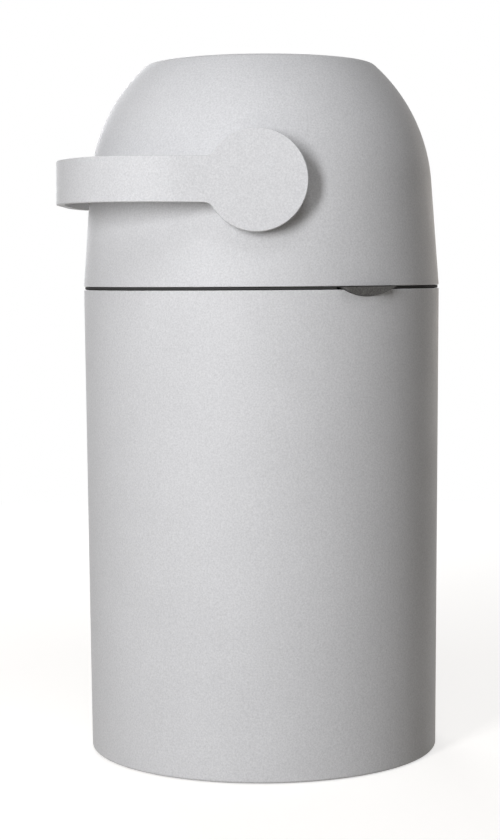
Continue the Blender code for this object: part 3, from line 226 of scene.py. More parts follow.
# Seals against the turning drum
SEAL_SHARE = 0.7244
SEAL_LIP_WIDTH = 0.003
SEAL_WIDTH = 0.005
SEAL_TIP_DEPTH = 0.0024
SEAL_WALL_DEPTH = 0.0040
SEAL_FLANGE = 0.002
SEAL_WALL = 0.0022
FUNNEL_SHOULDER_SHARE = 0.4

# Piston
PISTON_PLAY = 0.0015
PISTON_HEIGHT = 0.034
PISTON_WALL = 0.0025
PISTON_CHAMFER = 0.002
PISTON_BOSS_RADIUS = 0.0065
PISTON_SEAL_THICKNESS = 0.003
PISTON_SEAL_WIDTH = 0.006

# Bushes
BUSH_WALL = 0.0027
BUSH_LIP = 0.003
BUSH_FLANGE = 0.0025
STOP_WIDTH = 0.005

# Handle
HANDLE_STANDOFF = 0.0075
HANDLE_OVERREACH = 0.0161
BAR_HALF_STRAIGHT = 0.030
ARM_STRAIGHT = 0.052
HANDLE_WIDTH = 0.0315
HANDLE_THICKNESS = 0.0059
DISC_RADIUS = 0.0352
NECK_FILLET = 0.008
HANDLE_TILT = radians(1)
HANDLE_EDGE = 0.0007
HUB_WALL = 0.003
SOCKET_DEPTH = 0.020
LUG_HALF_WIDTH = 0.003
LUG_LENGTH = 0.0025

# Fasteners
SMALL_SCREW_RADIUS = 0.0015
SMALL_HEAD_RADIUS = 0.003
SMALL_HEAD_HEIGHT = 0.002
SMALL_SCREW_LENGTH = 0.012
HUB_SCREW_RADIUS = 0.0024
HUB_HEAD_RADIUS = 0.0045
HUB_HEAD_HEIGHT = 0.003
HUB_SCREW_LENGTH = 0.019
WASHER_RADIUS = 0.0062
WASHER_THICKNESS = 0.001
RECESS_SHARE = 0.55
RECESS_SLENDERNESS = 4


def sphere_height(radius, at):
    return sqrt(radius**2 - at**2)


# Pail and latch, worked out from the sizes above
BASE_RADIUS = RIM_RADIUS - TAPER
RIM_HEIGHT = SEAM_HEIGHT - SEAM_GAP
FLOOR_TOP = BASE_RECESS + WALL
RIB_SPAN = (-RIB_THICKNESS / 2, RIB_THICKNESS / 2)
HINGE_RADIUS = RIM_RADIUS + HINGE_STANDOFF
HINGE_HEIGHT = SEAM_HEIGHT - SEAM_GAP / 2
LEDGE_HEIGHT = SEAM_HEIGHT - LEDGE_DEPTH
BAG_RING_RADIUS = RIM_RADIUS - WALL - RUN_GAP - GAP
BAG_RING_TOP = LEDGE_HEIGHT + GAP + BAG_RING_THICKNESS
BAG_MOUTH_RADIUS = BAG_RING_RADIUS - BAG_RING_WIDTH
BAG_THROAT_RADIUS = BAG_MOUTH_RADIUS - BAG_NECK
TAB_TOP = SEAM_HEIGHT - TAB_TOP_GAP
TAB_BACK = RIM_RADIUS - TAB_BACK_DEPTH
LEG_MIDDLE = SEAM_HEIGHT - TAB_DROP / 2
LEG_LOW = LEG_MIDDLE - LEG_HEIGHT / 2
WEB_FACE = TAB_BACK - WEB_TO_TAB
HOOK_FACE = WEB_FACE - WEB_THICKNESS - HOOK_TO_WEB
KEEPER_FACE = HOOK_FACE - HOOK_THICKNESS - BARB_REACH - GAP

# Head and drum, worked out from the sizes above
DOME_RADIUS = RIM_RADIUS - DOME_INSET
SKIRT_SPAN = hypot(RIM_RADIUS, DOME_CENTRE_RISE)
SKIRT_SLOPE = acos(DOME_RADIUS / SKIRT_SPAN) - atan2(DOME_CENTRE_RISE, RIM_RADIUS)
HEAD_RISE = DOME_CENTRE_RISE + DOME_RADIUS * DOME_TOP_SHARE
HEAD_TOP = SEAM_HEIGHT + HEAD_RISE
DOME_EDGE_RISE = HEAD_RISE - DOME_EDGE_RADIUS
FLAT_TOP_RADIUS = sphere_height(DOME_RADIUS - DOME_EDGE_RADIUS, DOME_EDGE_RISE - DOME_CENTRE_RISE)
FLANGE_RADIUS = FLAT_TOP_RADIUS - TOP_RIM
OPENING_RADIUS = FLANGE_RADIUS - FLANGE_LAND
MOUTH_RADIUS = OPENING_RADIUS - MOUTH_WALL
PIVOT_HEIGHT = SEAM_HEIGHT + DOME_CENTRE_RISE + PIVOT_ABOVE_CENTRE
PIVOT = (0, 0, PIVOT_HEIGHT)
TRAY_BOTTOM = SEAM_HEIGHT + TRAY_RISE
TRAY_TOP = TRAY_BOTTOM + TRAY_THICKNESS
SPIGOT_RADIUS = RIM_RADIUS - SPIGOT_INSET
DRUM_RADIUS = DOME_RADIUS * DRUM_SHARE
DRUM_INSIDE = DRUM_RADIUS - DRUM_SKIN
DRUM_HALF_LENGTH = DRUM_RADIUS * DRUM_LENGTH_SHARE
BORE_RADIUS = DRUM_RADIUS * BORE_SHARE
LIP_RADIUS = BORE_RADIUS - LIP_WIDTH
CAP_PLANE = DRUM_RADIUS * CAP_PLANE_SHARE
CAP_SPIGOT_RADIUS = sphere_height(DRUM_INSIDE, CAP_PLANE) - CAP_SPIGOT_INSET
CAP_SCREW_OFFSET = DRUM_RADIUS * CAP_SCREW_SHARE
CAP_PAD_FACE = CAP_PLANE + CAP_PAD_DEPTH
CAP_HEAD_SEAT = CAP_PAD_FACE + CAP_PAD_THICKNESS
SEAL_INNER_RADIUS = DRUM_RADIUS * SEAL_SHARE
SEAL_OUTER_RADIUS = SEAL_INNER_RADIUS + SEAL_WIDTH
SEAL_WALL_INNER = SEAL_OUTER_RADIUS + GAP
SEAL_WALL_OUTER = SEAL_WALL_INNER + SEAL_WALL
SEAL_SEAT_RISE = sphere_height(DRUM_RADIUS + GAP, SEAL_INNER_RADIUS) + SEAL_TIP_DEPTH
PISTON_RADIUS = BORE_RADIUS - PISTON_PLAY
PISTON_LOW = -DRUM_HALF_LENGTH + LIP_THICKNESS + GAP
PISTON_MIDDLE = PISTON_LOW + PISTON_HEIGHT / 2

# Handle and bearings, worked out from the sizes above
HANDLE_HALF_SPAN = RIM_RADIUS + HANDLE_STANDOFF
HANDLE_REACH = RIM_RADIUS + HANDLE_OVERREACH
CORNER_WIDTH = HANDLE_HALF_SPAN - BAR_HALF_STRAIGHT
CORNER_LENGTH = HANDLE_REACH - ARM_STRAIGHT
AXIS_Y = (HANDLE_REACH - RIM_RADIUS) / 2
HUB_BACK = HANDLE_HALF_SPAN - HANDLE_THICKNESS
HUB_RADIUS = TRUNNION_RADIUS + HUB_WALL
TRUNNION_END = HUB_BACK - SOCKET_DEPTH
WASHER_FACE = TRUNNION_END - TRUNNION_WALL - GAP
BUSH_RADIUS = HUB_RADIUS + GAP
BUSH_OUTER_RADIUS = BUSH_RADIUS + BUSH_WALL
BUSH_FLANGE_RADIUS = BUSH_OUTER_RADIUS + BUSH_LIP
STOP_RADIUS = BUSH_FLANGE_RADIUS + STOP_WIDTH
BUSH_FACE = HUB_BACK - GAP - BUSH_FLANGE
COLLAR_OUTER_FACE = BUSH_FACE - GAP
COLLAR_INNER_FACE = COLLAR_OUTER_FACE - COLLAR_LENGTH
COLLAR_RADIUS = BUSH_OUTER_RADIUS + GAP + COLLAR_WALL

# Screws, and the turns that pieces are built in
SMALL_SCREW = (SMALL_SCREW_RADIUS, SMALL_HEAD_RADIUS, SMALL_HEAD_HEIGHT, SMALL_SCREW_LENGTH)
HUB_SCREW = (HUB_SCREW_RADIUS, HUB_HEAD_RADIUS, HUB_HEAD_HEIGHT, HUB_SCREW_LENGTH)
SCREW_HOLE = SMALL_SCREW_RADIUS + GAP
HUB_SCREW_HOLE = HUB_SCREW_RADIUS + GAP
SPRING_PLACE = (0, 0, LEG_MIDDLE)
SIDES = (-1, 1)
ORIGIN = (0, 0, 0)
UPSIDE_DOWN = (pi, 0, 0)
ACROSS = (pi / 2, 0, pi / 2)
AT_LATCH = (0, 0, LATCH_BEARING)
FACING_LATCH = (pi / 2, 0, LATCH_BEARING + pi / 2)
HINGE_TURN = (pi / 2, 0, HINGE_BEARING)


CUTTERS = bpy.data.collections.new("construction")
bpy.context.scene.collection.children.link(CUTTERS)
BODY_OF = {n: b for b, nodes in frame["record"]["behaviour"]["bodies"].items() for n in nodes}


def new_object(name, work, place, turn):
    """A construction object, with its place measured from the pail's own axis on the floor."""
    made = bpy.data.objects.new(name, mesh_from(name, work))
    made["node"] = name
    made.location = (place[0], place[1] + AXIS_Y, place[2])
    made.rotation_euler = turn
    CUTTERS.objects.link(made)
    return made


def in_scene(name, data):
    made = bpy.data.objects.new(name, data)
    bpy.context.scene.collection.objects.link(made)
    return made


def mesh_from(name, work):
    mesh = bpy.data.meshes.new(name)
    bmesh.ops.recalc_face_normals(work, faces=work.faces)
    work.to_mesh(mesh)
    work.free()
    return mesh


def clockwise(points):
    """The outline in the order that a Screw needs: down its outer side."""
    area = sum(r0 * z1 - r1 * z0 for (r0, z0), (r1, z1) in zip(points, points[1:] + points[:1]))
    return points if area < 0 else points[::-1]


def eased(points):
    """The closed outline with its corners rounded, where its edges leave room."""
    out = []
    for i, here in enumerate(points):
        at = Vector(here)
        back, on = Vector(points[i - 1]) - at, Vector(points[(i + 1) % len(points)]) - at
        reach = min(EDGE, EDGE_SHARE * back.length, EDGE_SHARE * on.length)
        if here[0] < WELD or reach < LEAST_EDGE or back.angle(-on) < LEAST_TURN:
            out.append(here)
            continue
        start, end = at + back.normalized() * reach, at + on.normalized() * reach
        for k in range(EDGE_STEPS + 1):
            t = k / EDGE_STEPS
            out.append(tuple(start * (1 - t) ** 2 + at * 2 * t * (1 - t) + end * t**2))
    return out


def divided(points):
    """The closed outline with points added along its long spans, for even shading."""
    out = []
    for i, here in enumerate(points):
        at, following = Vector(here), Vector(points[(i + 1) % len(points)])
        on_axis = max(at.x, following.x) < WELD
        steps = 1 if on_axis else max(1, ceil((following - at).length / LONG_SPAN))
        out += [tuple(at.lerp(following, k / steps)) for k in range(steps)]
    return out


def turned(name, outline, facets, place=ORIGIN, turn=ORIGIN):
    """A solid turned about its local Z from an outline of (radius, height) points."""
    points = divided(clockwise(eased(list(outline))))
    closed = min(r for r, _ in points) > WELD
    while not closed and max(points[0][0], points[-1][0]) > WELD:
        points = points[1:] + points[:1]
    work = bmesh.new()
    ring = [work.verts.new((r, 0, z)) for r, z in points]
    following = ring[1:] + ring[:1] if closed else ring[1:]
    for pair in zip(ring, following):
        work.edges.new(pair)
    made = new_object(name, work, place, turn)
    screw = made.modifiers.new("turn", "SCREW")
    screw.steps = facets
    screw.use_merge_vertices = True
    screw.merge_threshold = WELD
    return made


def rod(name, radius, low, high, place=ORIGIN, turn=ORIGIN, facets=SMALL_FACETS):
    """A round bar along its local Z between two heights."""
    work = bmesh.new()
    bmesh.ops.create_cone(
        work, cap_ends=True, segments=facets, radius1=radius, radius2=radius, depth=high - low
    )
    bmesh.ops.translate(work, vec=(0, 0, (low + high) / 2), verts=work.verts)
    return new_object(name, work, place, turn)


def block(name, *spans, place=ORIGIN, turn=ORIGIN):
    """A box between two distances along each of its three axes."""
    work = bmesh.new()
    bmesh.ops.create_cube(work, size=1)
    bmesh.ops.scale(work, vec=[b - a for a, b in spans], verts=work.verts)
    bmesh.ops.translate(work, vec=[(a + b) / 2 for a, b in spans], verts=work.verts)
    return new_object(name, work, place, turn)


def applied(thing):
    """A new mesh of the object with its modifiers applied."""
    bpy.context.view_layer.update()
    seen = thing.evaluated_get(bpy.context.evaluated_depsgraph_get())
    return bpy.data.meshes.new_from_object(seen)


def mesh_of_curve(curve, places, closed, place, turn):
    """The curve drawn through the places and made a mesh, with its caps welded on for a Boolean."""
    name = curve.name
    spline = curve.splines.new("POLY")
    spline.points.add(len(places) - 1)
    for point, at in zip(spline.points, places):
        point.co = (*at, 1)
    spline.use_cyclic_u = closed
    drawn = bpy.data.objects.new(name, curve)
    CUTTERS.objects.link(drawn)
    mesh = applied(drawn)
    bpy.data.objects.remove(drawn, do_unlink=True)
    bpy.data.curves.remove(curve)
    work = bmesh.new()
    work.from_mesh(mesh)
    bmesh.ops.remove_doubles(work, verts=work.verts, dist=WELD)
    bpy.data.meshes.remove(mesh)
    made = new_object(name, work, place, turn)
    made["square"] = True
    return made


def plate(name, outline, low, high, place=ORIGIN, turn=ORIGIN):
    """A flat outline drawn in its local XY and thickened along Z between two heights."""
    curve = bpy.data.curves.new(name, "CURVE")
    curve.dimensions = "2D"
    curve.fill_mode = "BOTH"
    curve.extrude = (high - low) / 2
    made = mesh_of_curve(curve, [(x, y, 0) for x, y in outline], True, place, turn)
    made.data.transform(Matrix.Translation((0, 0, (low + high) / 2)))
    return made


def combine(target, other, operation):
    change = target.modifiers.new(other.name, "BOOLEAN")
    change.operation = operation
    change.solver = "MANIFOLD"
    change.object = other


def add(target, *others):
    for other in others:
        if "square" in other:
            soften(other, EDGE / 2, JOIN_STEPS)
        combine(target, other, "UNION")


def cut(target, other):
    combine(target, other, "DIFFERENCE")


def soften(target, width, steps):
    edge = target.modifiers.new("edges", "BEVEL")
    edge.width = width
    edge.segments = steps
    edge.limit_method = "ANGLE"
    edge.angle_limit = BEVEL_TURN


def part(made, finish):
    """Makes the construction object a finished piece on its body, in place of its CAD node."""
    name = made["node"]
    mesh = applied(made)
    mesh.transform(made.matrix_world)
    for item in list(CUTTERS.objects):
        bpy.data.objects.remove(item, do_unlink=True)
    work = bmesh.new()
    work.from_mesh(mesh)
    bmesh.ops.dissolve_degenerate(work, edges=work.edges, dist=LEAST_LENGTH)
    work.to_mesh(mesh)
    work.free()
    mesh.materials.clear()
    mesh.materials.append(finish)
    mesh.shade_smooth()
    mesh.set_sharp_from_angle(angle=SHARP_TURN)
    piece = in_scene(name + "_fine", mesh)
    even = piece.modifiers.new("normals", "WEIGHTED_NORMAL")
    even.keep_sharp = True
    even.weight = NORMAL_WEIGHT
    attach(piece, BODY_OF[name])
    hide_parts(name)
    return piece


def arc(radius, start, end, steps, centre=(0, 0)):
    angles = [start + (end - start) * i / steps for i in range(steps + 1)]
    return [(centre[0] + radius * cos(angle), centre[1] + radius * sin(angle)) for angle in angles]


def spread(bearing, radius, height=0.0):
    return (radius * cos(bearing), radius * sin(bearing), height)


def mirrored(side, outline):
    """An outline of (radius, reach along the axis) points, turned to one side."""
    return [(r, side * a) for r, a in outline]


def to_side(side, near, far):
    """Two distances along an axis turned to one side, the lower first."""
    return sorted((side * near, side * far))


def peg(name, radius, side, near, far, place=PIVOT, facets=SMALL_FACETS):
    """A rod along the pivot's direction, between two distances to one side."""
    return rod(name, radius, *to_side(side, near, far), place, ACROSS, facets)


def stepped(*sizes):
    """A closed outline of level and upright edges, from its radii and heights in turn."""
    radii, heights = sizes[::2], sizes[1::2]
    out = []
    for i, height in enumerate(heights):
        out += [(radii[i], height), (radii[(i + 1) % len(radii)], height)]
    return out


def outer_radius(height):
    """The pail's outside at a height above the floor."""
    low = PAD_PROUD + FOOT_CORNER
    share = (height - low) / (RIM_HEIGHT - low)
    return BASE_RADIUS + (RIM_RADIUS - BASE_RADIUS) * share


def skirt_radius(rise, inset=0.0):
    """The head's skirt at a rise above the seam, moved inwards by the inset."""
    reach = DOME_RADIUS - inset - (rise - DOME_CENTRE_RISE) * sin(SKIRT_SLOPE)
    return reach / cos(SKIRT_SLOPE)


def head_outline():
    """The head from its flat top down the outside to the seam, and up inside to its thick plate."""
    centre = (0, SEAM_HEIGHT + DOME_CENTRE_RISE)
    corner = (FLAT_TOP_RADIUS, SEAM_HEIGHT + DOME_EDGE_RISE)
    turn_in = atan2(DOME_EDGE_RISE - DOME_CENTRE_RISE, FLAT_TOP_RADIUS)
    points = arc(DOME_EDGE_RADIUS, pi / 2, turn_in, FILLET_STEPS, corner)
    points += arc(DOME_RADIUS, turn_in, SKIRT_SLOPE, DOME_STEPS, centre)[1:]
    points += [(RIM_RADIUS, SEAM_HEIGHT), (skirt_radius(0, WALL), SEAM_HEIGHT)]
    radius = DOME_RADIUS - WALL
    end = asin((HEAD_RISE - TOP_PLATE - DOME_CENTRE_RISE) / radius)
    return points + arc(radius, SKIRT_SLOPE, end, DOME_INSIDE_STEPS, centre)


def hinge_rod(name, radius, low, high, facets=SMALL_FACETS):
    made = rod(name, radius, low, high, turn=HINGE_TURN, facets=facets)
    made.data.transform(Matrix.Translation((HINGE_RADIUS, HINGE_HEIGHT, 0)))
    return made


def knuckle(low, high, root, end):
    """A hinge barrel along the tangent at the hinge, with the lug that carries it."""
    barrel = hinge_rod("barrel", KNUCKLE_RADIUS, low, high, MIDDLE_FACETS)
    inner, outer = HINGE_RADIUS - LUG_BITE, HINGE_RADIUS + KNUCKLE_RADIUS - LUG_BITE
    lug = [root, (inner, HINGE_HEIGHT), (outer, HINGE_HEIGHT), end]
    return barrel, plate("lug", lug, low + RUN_GAP, high - RUN_GAP, turn=HINGE_TURN)


def hinge_bore():
    reach = HEAD_KNUCKLE_HALF + PAIL_KNUCKLE_LENGTH + OVERRUN
    return hinge_rod("hinge_bore", PIN_RADIUS + GAP, -reach, reach)


def tab_outline(grow=0.0):
    """Front view of the latch tab: flat along the seam and round below."""
    radius = (TAB_HALF_WIDTH**2 + TAB_DROP**2) / (2 * TAB_DROP)
    half = asin(TAB_HALF_WIDTH / radius)
    centre = (0, SEAM_HEIGHT - TAB_DROP + radius)
    low = arc(radius + grow, -pi / 2 - half, -pi / 2 + half, TAB_STEPS, centre)
    top = TAB_TOP + grow
    low = [(x, min(z, top - grow / 2 - WALL / 10)) for x, z in low]
    return low + [(low[-1][0], top), (low[0][0], top)]


def latch_screw_points():
    """Places of the latch's screws, inset from the pail's inside and spaced along the rim."""
    reach = RIM_RADIUS - WALL - LATCH_SCREW_INSET
    return [spread(LATCH_BEARING + side * LATCH_SCREW_OFFSET / reach, reach) for side in SIDES]


def tray_screw_points():
    reach = RIM_RADIUS - TRAY_BOSS_INSET
    first = LATCH_BEARING + pi / TRAY_SCREWS
    return [spread(first + 2 * pi * i / TRAY_SCREWS, reach) for i in range(TRAY_SCREWS)]


def cap_screw_places():
    heights = [PIVOT_HEIGHT + way * CAP_SCREW_OFFSET for way in SIDES]
    return [((0, 0, height), side) for side in SIDES for height in heights]


def make_pail(finish):
    inner_low = outer_radius(FLOOR_TOP) - WALL
    ledge_low = LEDGE_HEIGHT - LEDGE_THICKNESS
    ledge_outer = outer_radius(LEDGE_HEIGHT) - WALL
    ledge_radius = ledge_outer - LEDGE_WIDTH
    foot_radius = BASE_RADIUS - FOOT_WIDTH
    fillet_centre = (inner_low - FLOOR_FILLET, FLOOR_TOP + FLOOR_FILLET)
    outline = [(0, FLOOR_TOP)]
    outline += arc(FLOOR_FILLET, -pi / 2, 0, FILLET_STEPS, fillet_centre)
    outline += [
        (outer_radius(ledge_low - LEDGE_WIDTH) - WALL, ledge_low - LEDGE_WIDTH),
        (ledge_radius, ledge_low), (ledge_radius, LEDGE_HEIGHT), (ledge_outer, LEDGE_HEIGHT),
        (RIM_RADIUS - WALL, RIM_HEIGHT), (RIM_RADIUS, RIM_HEIGHT),
    ]
    corner = (BASE_RADIUS - FOOT_CORNER, PAD_PROUD + FOOT_CORNER)
    outline += arc(FOOT_CORNER, 0, -pi / 2, FILLET_STEPS, corner)
    outline += [(foot_radius, PAD_PROUD), (foot_radius, BASE_RECESS), (0, BASE_RECESS)]
    pail = turned("pail", outline, BODY_FACETS)
    half = foot_radius + FOOT_WIDTH / 2
    spans = (-half, half), RIB_SPAN, (BASE_RECESS - RIB_DEPTH, BASE_RECESS + WALL / 2)
    for i in range(RIB_BARS):
        add(pail, block("base_rib", *spans, turn=(0, 0, pi * i / RIB_BARS)))
    root = (RIM_RADIUS - LUG_BITE, RIM_HEIGHT - WALL / 2)
    end = (outer_radius(HINGE_HEIGHT - LUG_DROP) - LUG_BITE, HINGE_HEIGHT - LUG_DROP)
    near = HEAD_KNUCKLE_HALF + GAP
    far = near + PAIL_KNUCKLE_LENGTH
    add(pail, *knuckle(near, far, root, end))
    add(pail, *knuckle(-far, -near, root, end))
    cut(pail, hinge_bore())
    reach = (TAB_BACK - WALL, RIM_RADIUS + OVERRUN)
    cut(pail, plate("tab_notch", tab_outline(GAP), *reach, turn=FACING_LATCH))
    low = LEDGE_HEIGHT - SMALL_SCREW_LENGTH - LEDGE_THICKNESS
    for place in latch_screw_points():
        add(pail, rod("latch_boss", SMALL_HEAD_RADIUS, low, LEDGE_HEIGHT - GAP, place))
        cut(pail, rod("latch_pilot", SCREW_HOLE, low + WALL / 2, SEAM_HEIGHT, place))
    part(pail, finish)


def make_bag_ring(finish):
    top = BAG_RING_TOP
    low = top - BAG_RING_THICKNESS
    outline = [
        (BAG_MOUTH_RADIUS, top), (BAG_RING_RADIUS, top), (BAG_RING_RADIUS, low),
        (BAG_MOUTH_RADIUS + BAG_RING_THICKNESS, low),
        (BAG_THROAT_RADIUS + BAG_RING_THICKNESS, top - BAG_SKIRT_DEPTH),
        (BAG_THROAT_RADIUS, top - BAG_SKIRT_DEPTH),
    ]
    ring = turned("bag_ring", outline, RING_FACETS)
    half = HOUSING_HALF_WIDTH + EAR_LENGTH + RUN_GAP
    heights = (low - OVERRUN, top + OVERRUN)
    depths = (WEB_FACE - WEB_THICKNESS - RUN_GAP, RIM_RADIUS)
    cut(ring, block("housing_notch", depths, (-half, half), heights, turn=AT_LATCH))
    for side in SIDES:
        place = spread(LATCH_BEARING + side * pi / 2, BAG_RING_RADIUS)
        cut(ring, rod("finger_notch", FINGER_NOTCH_RADIUS, *heights, place))
    part(ring, finish)


def make_hinge_pin(finish):
    half = HEAD_KNUCKLE_HALF + GAP + PAIL_KNUCKLE_LENGTH + GAP
    end = half + PIN_HEAD_LENGTH
    outline = stepped(0, end, PIN_HEAD_RADIUS, half, PIN_RADIUS, -half, PIN_HEAD_RADIUS, -end)
    place = spread(HINGE_BEARING, HINGE_RADIUS, HINGE_HEIGHT)
    part(turned("hinge_pin", outline, SMALL_FACETS, place, HINGE_TURN), finish)


def make_foot_pads(finish):
    reach = BASE_RADIUS - FOOT_WIDTH - PAD_RADIUS - RUN_GAP
    top = BASE_RECESS - GAP
    outline = [(0, top), (PAD_RADIUS, top), (PAD_RADIUS, PAD_PROUD)]
    outline += [(PAD_RADIUS - PAD_PROUD, 0), (0, 0)]
    for i in range(PAD_COUNT):
        place = spread(pi * (2 * i + 1) / PAD_COUNT + PAD_TURN, reach)
        part(turned(f"foot_pad_{i + 1}", outline, PAD_FACETS, place), finish)


def make_latch_housing(finish):
    inner = WEB_FACE - WEB_THICKNESS
    low = LEDGE_HEIGHT + GAP
    floor = low + HOUSING_FLOOR
    bite = HOUSING_FLOOR / 2
    half = HOUSING_HALF_WIDTH
    ear = half + EAR_LENGTH
    housing = block("latch_housing", (inner, RIM_RADIUS), (-ear, ear), (low, floor), turn=AT_LATCH)
    heights = (low + bite, RIM_HEIGHT + WALL / 2)
    add(housing, block("latch_web", (inner, WEB_FACE), (-half, half), heights, turn=AT_LATCH))
    heights = (low + bite, SEAM_HEIGHT - TAB_DROP - RUN_GAP)
    for side in SIDES:
        spans = (inner + bite, RIM_RADIUS), to_side(side, half, half - WEB_THICKNESS), heights
        add(housing, block("latch_cheek", *spans, turn=AT_LATCH))
    inside = rod("pail_inside", BAG_RING_RADIUS, low - OVERRUN, SEAM_HEIGHT, facets=BODY_FACETS)
    combine(housing, inside, "INTERSECT")
    reach = LEG_WIDTH / 2 + GAP
    depths, heights = (inner - OVERRUN, WEB_FACE + OVERRUN), (LEG_LOW - GAP, SEAM_HEIGHT)
    for side, place in zip(SIDES, latch_screw_points()):
        wide = (side * LEG_OFFSET - reach, side * LEG_OFFSET + reach)
        cut(housing, block("leg_slot", depths, wide, heights, turn=AT_LATCH))
        cut(housing, rod("ear_hole", SCREW_HOLE, low - OVERRUN, floor + OVERRUN, place))
    part(housing, finish)


def make_button(finish):
    front = RIM_RADIUS + TAB_PROUD
    reach = (TAB_BACK, front + OVERRUN)
    button = plate("release_button", tab_outline(), *reach, turn=FACING_LATCH)
    bottom = SEAM_HEIGHT - TAB_DROP - GAP
    slope = [
        (TAB_BACK - OVERRUN, SEAM_HEIGHT), (front, SEAM_HEIGHT), (front, TAB_TOP - TAB_LIP),
        (RIM_RADIUS + GAP, bottom), (TAB_BACK - OVERRUN, bottom),
    ]
    combine(button, turned("tab_slope", slope, 2 * BODY_FACETS), "INTERSECT")
    heights = (LEG_LOW, LEG_MIDDLE + LEG_HEIGHT / 2)
    back = KEEPER_FACE - KEEPER_DEPTH
    for side in SIDES:
        left = side * LEG_OFFSET - LEG_WIDTH / 2
        spans = (back, TAB_BACK + WALL / 2), (left, left + LEG_WIDTH), heights
        add(button, block("leg", *spans, turn=AT_LATCH))
    wide = (-LEG_OFFSET, LEG_OFFSET)
    add(button, block("keeper", (back, KEEPER_FACE), wide, heights, turn=AT_LATCH))
    radius = SPRING_RADIUS + SPRING_WIRE_RADIUS + GAP
    reach = (TAB_BACK - OVERRUN, TAB_BACK + SPRING_POCKET_DEPTH)
    cut(button, rod("spring_pocket", radius, *reach, SPRING_PLACE, FACING_LATCH))
    part(button, finish)


def make_spring(finish):
    inner, outer = WEB_FACE + GAP, TAB_BACK + SPRING_POCKET_DEPTH - GAP
    low, high = inner + SPRING_WIRE_RADIUS, outer - SPRING_WIRE_RADIUS
    curve = bpy.data.curves.new("button_spring", "CURVE")
    curve.dimensions = "3D"
    curve.bevel_depth = SPRING_WIRE_RADIUS
    curve.bevel_resolution = WIRE_ROUNDING
    curve.use_fill_caps = True
    count = SPRING_TURNS * SPRING_STEPS
    places = []
    for i in range(count + 1):
        angle = 2 * pi * i / SPRING_STEPS
        height = low + (high - low) * i / count
        places.append((SPRING_RADIUS * cos(angle), SPRING_RADIUS * sin(angle), height))
    piece = part(mesh_of_curve(curve, places, False, SPRING_PLACE, FACING_LATCH), finish)
    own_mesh(piece)


def screw(name, radius, head_radius, head_height, length, place, turn=ORIGIN):
    """A pan-head screw whose head stands on its place and whose shank runs down local Z."""
    outline = [
        (0, head_height), (head_radius - head_height / 3, head_height),
        (head_radius, head_height * 2 / 3), (head_radius, 0), (radius, 0),
        (radius, radius - length), (0, -length),
    ]
    made = turned(name, outline, SMALL_FACETS, place, turn)
    arm = head_radius * RECESS_SHARE
    web = arm / RECESS_SLENDERNESS
    heights = (head_height * RECESS_SHARE, head_height + OVERRUN)
    for x, y in ((arm, web), (web, arm)):
        cut(made, block("recess", (-x, x), (-y, y), heights, place=place, turn=turn))
    return made


def make_small_screws(stem, points, height, turn, finish):
    for i, (x, y, _) in enumerate(points):
        part(screw(f"{stem}_{i + 1}", *SMALL_SCREW, (x, y, height), turn), finish)


def make_head_shell(finish):
    seat = HEAD_TOP - FLANGE_THICKNESS - GAP
    outline = [(FLANGE_RADIUS + GAP, HEAD_TOP)] + head_outline()
    outline += [
        (OPENING_RADIUS, HEAD_TOP - TOP_PLATE), (OPENING_RADIUS, seat),
        (FLANGE_RADIUS + GAP, seat),
    ]
    shell = turned("head_shell", outline, BODY_FACETS)
    for side in SIDES:
        ends = COLLAR_INNER_FACE, COLLAR_OUTER_FACE
        collar = peg("bearing_collar", COLLAR_RADIUS, side, *ends, PIVOT, HUB_FACETS)
        collar.data.transform(Matrix.Rotation(pi / HUB_FACETS, 4, "Z"))
        add(shell, collar)
    reach = COLLAR_OUTER_FACE + OVERRUN
    bore_radius = BUSH_OUTER_RADIUS + GAP
    cut(shell, rod("bearing_bore", bore_radius, -reach, reach, PIVOT, ACROSS, HUB_FACETS))
    low = TRAY_TOP + GAP
    for place in tray_screw_points():
        add(shell, rod("tray_boss", TRAY_BOSS_RADIUS, low, low + TRAY_BOSS_HEIGHT, place))
        cut(shell, rod("tray_pilot", SCREW_HOLE, SEAM_HEIGHT, low + SMALL_SCREW_LENGTH, place))
    root = (skirt_radius(LUG_BITE) - LUG_BITE, SEAM_HEIGHT + LUG_BITE)
    end = (skirt_radius(LUG_DROP) - LUG_BITE, SEAM_HEIGHT + LUG_DROP)
    add(shell, *knuckle(-HEAD_KNUCKLE_HALF, HEAD_KNUCKLE_HALF, root, end))
    cut(shell, hinge_bore())
    part(shell, finish)


def make_feed_collar(finish):
    flange_low = HEAD_TOP - FLANGE_THICKNESS
    neck = OPENING_RADIUS - GAP
    seal_top = PIVOT_HEIGHT + SEAL_SEAT_RISE
    wall_low = seal_top - SEAL_WALL_DEPTH
    shoulder = flange_low - (flange_low - seal_top) * FUNNEL_SHOULDER_SHARE
    inner = SEAL_INNER_RADIUS + GAP
    outline = [
        (MOUTH_RADIUS, HEAD_TOP), (FLANGE_RADIUS, HEAD_TOP), (FLANGE_RADIUS, flange_low),
        (neck, flange_low), (neck, HEAD_TOP - TOP_PLATE), (SEAL_WALL_OUTER, shoulder),
        (SEAL_WALL_OUTER, wall_low), (SEAL_WALL_INNER, wall_low), (SEAL_WALL_INNER, seal_top),
        (inner, seal_top), (inner, seal_top + SEAL_FLANGE),
    ]
    part(turned("feed_collar", outline, RING_FACETS), finish)


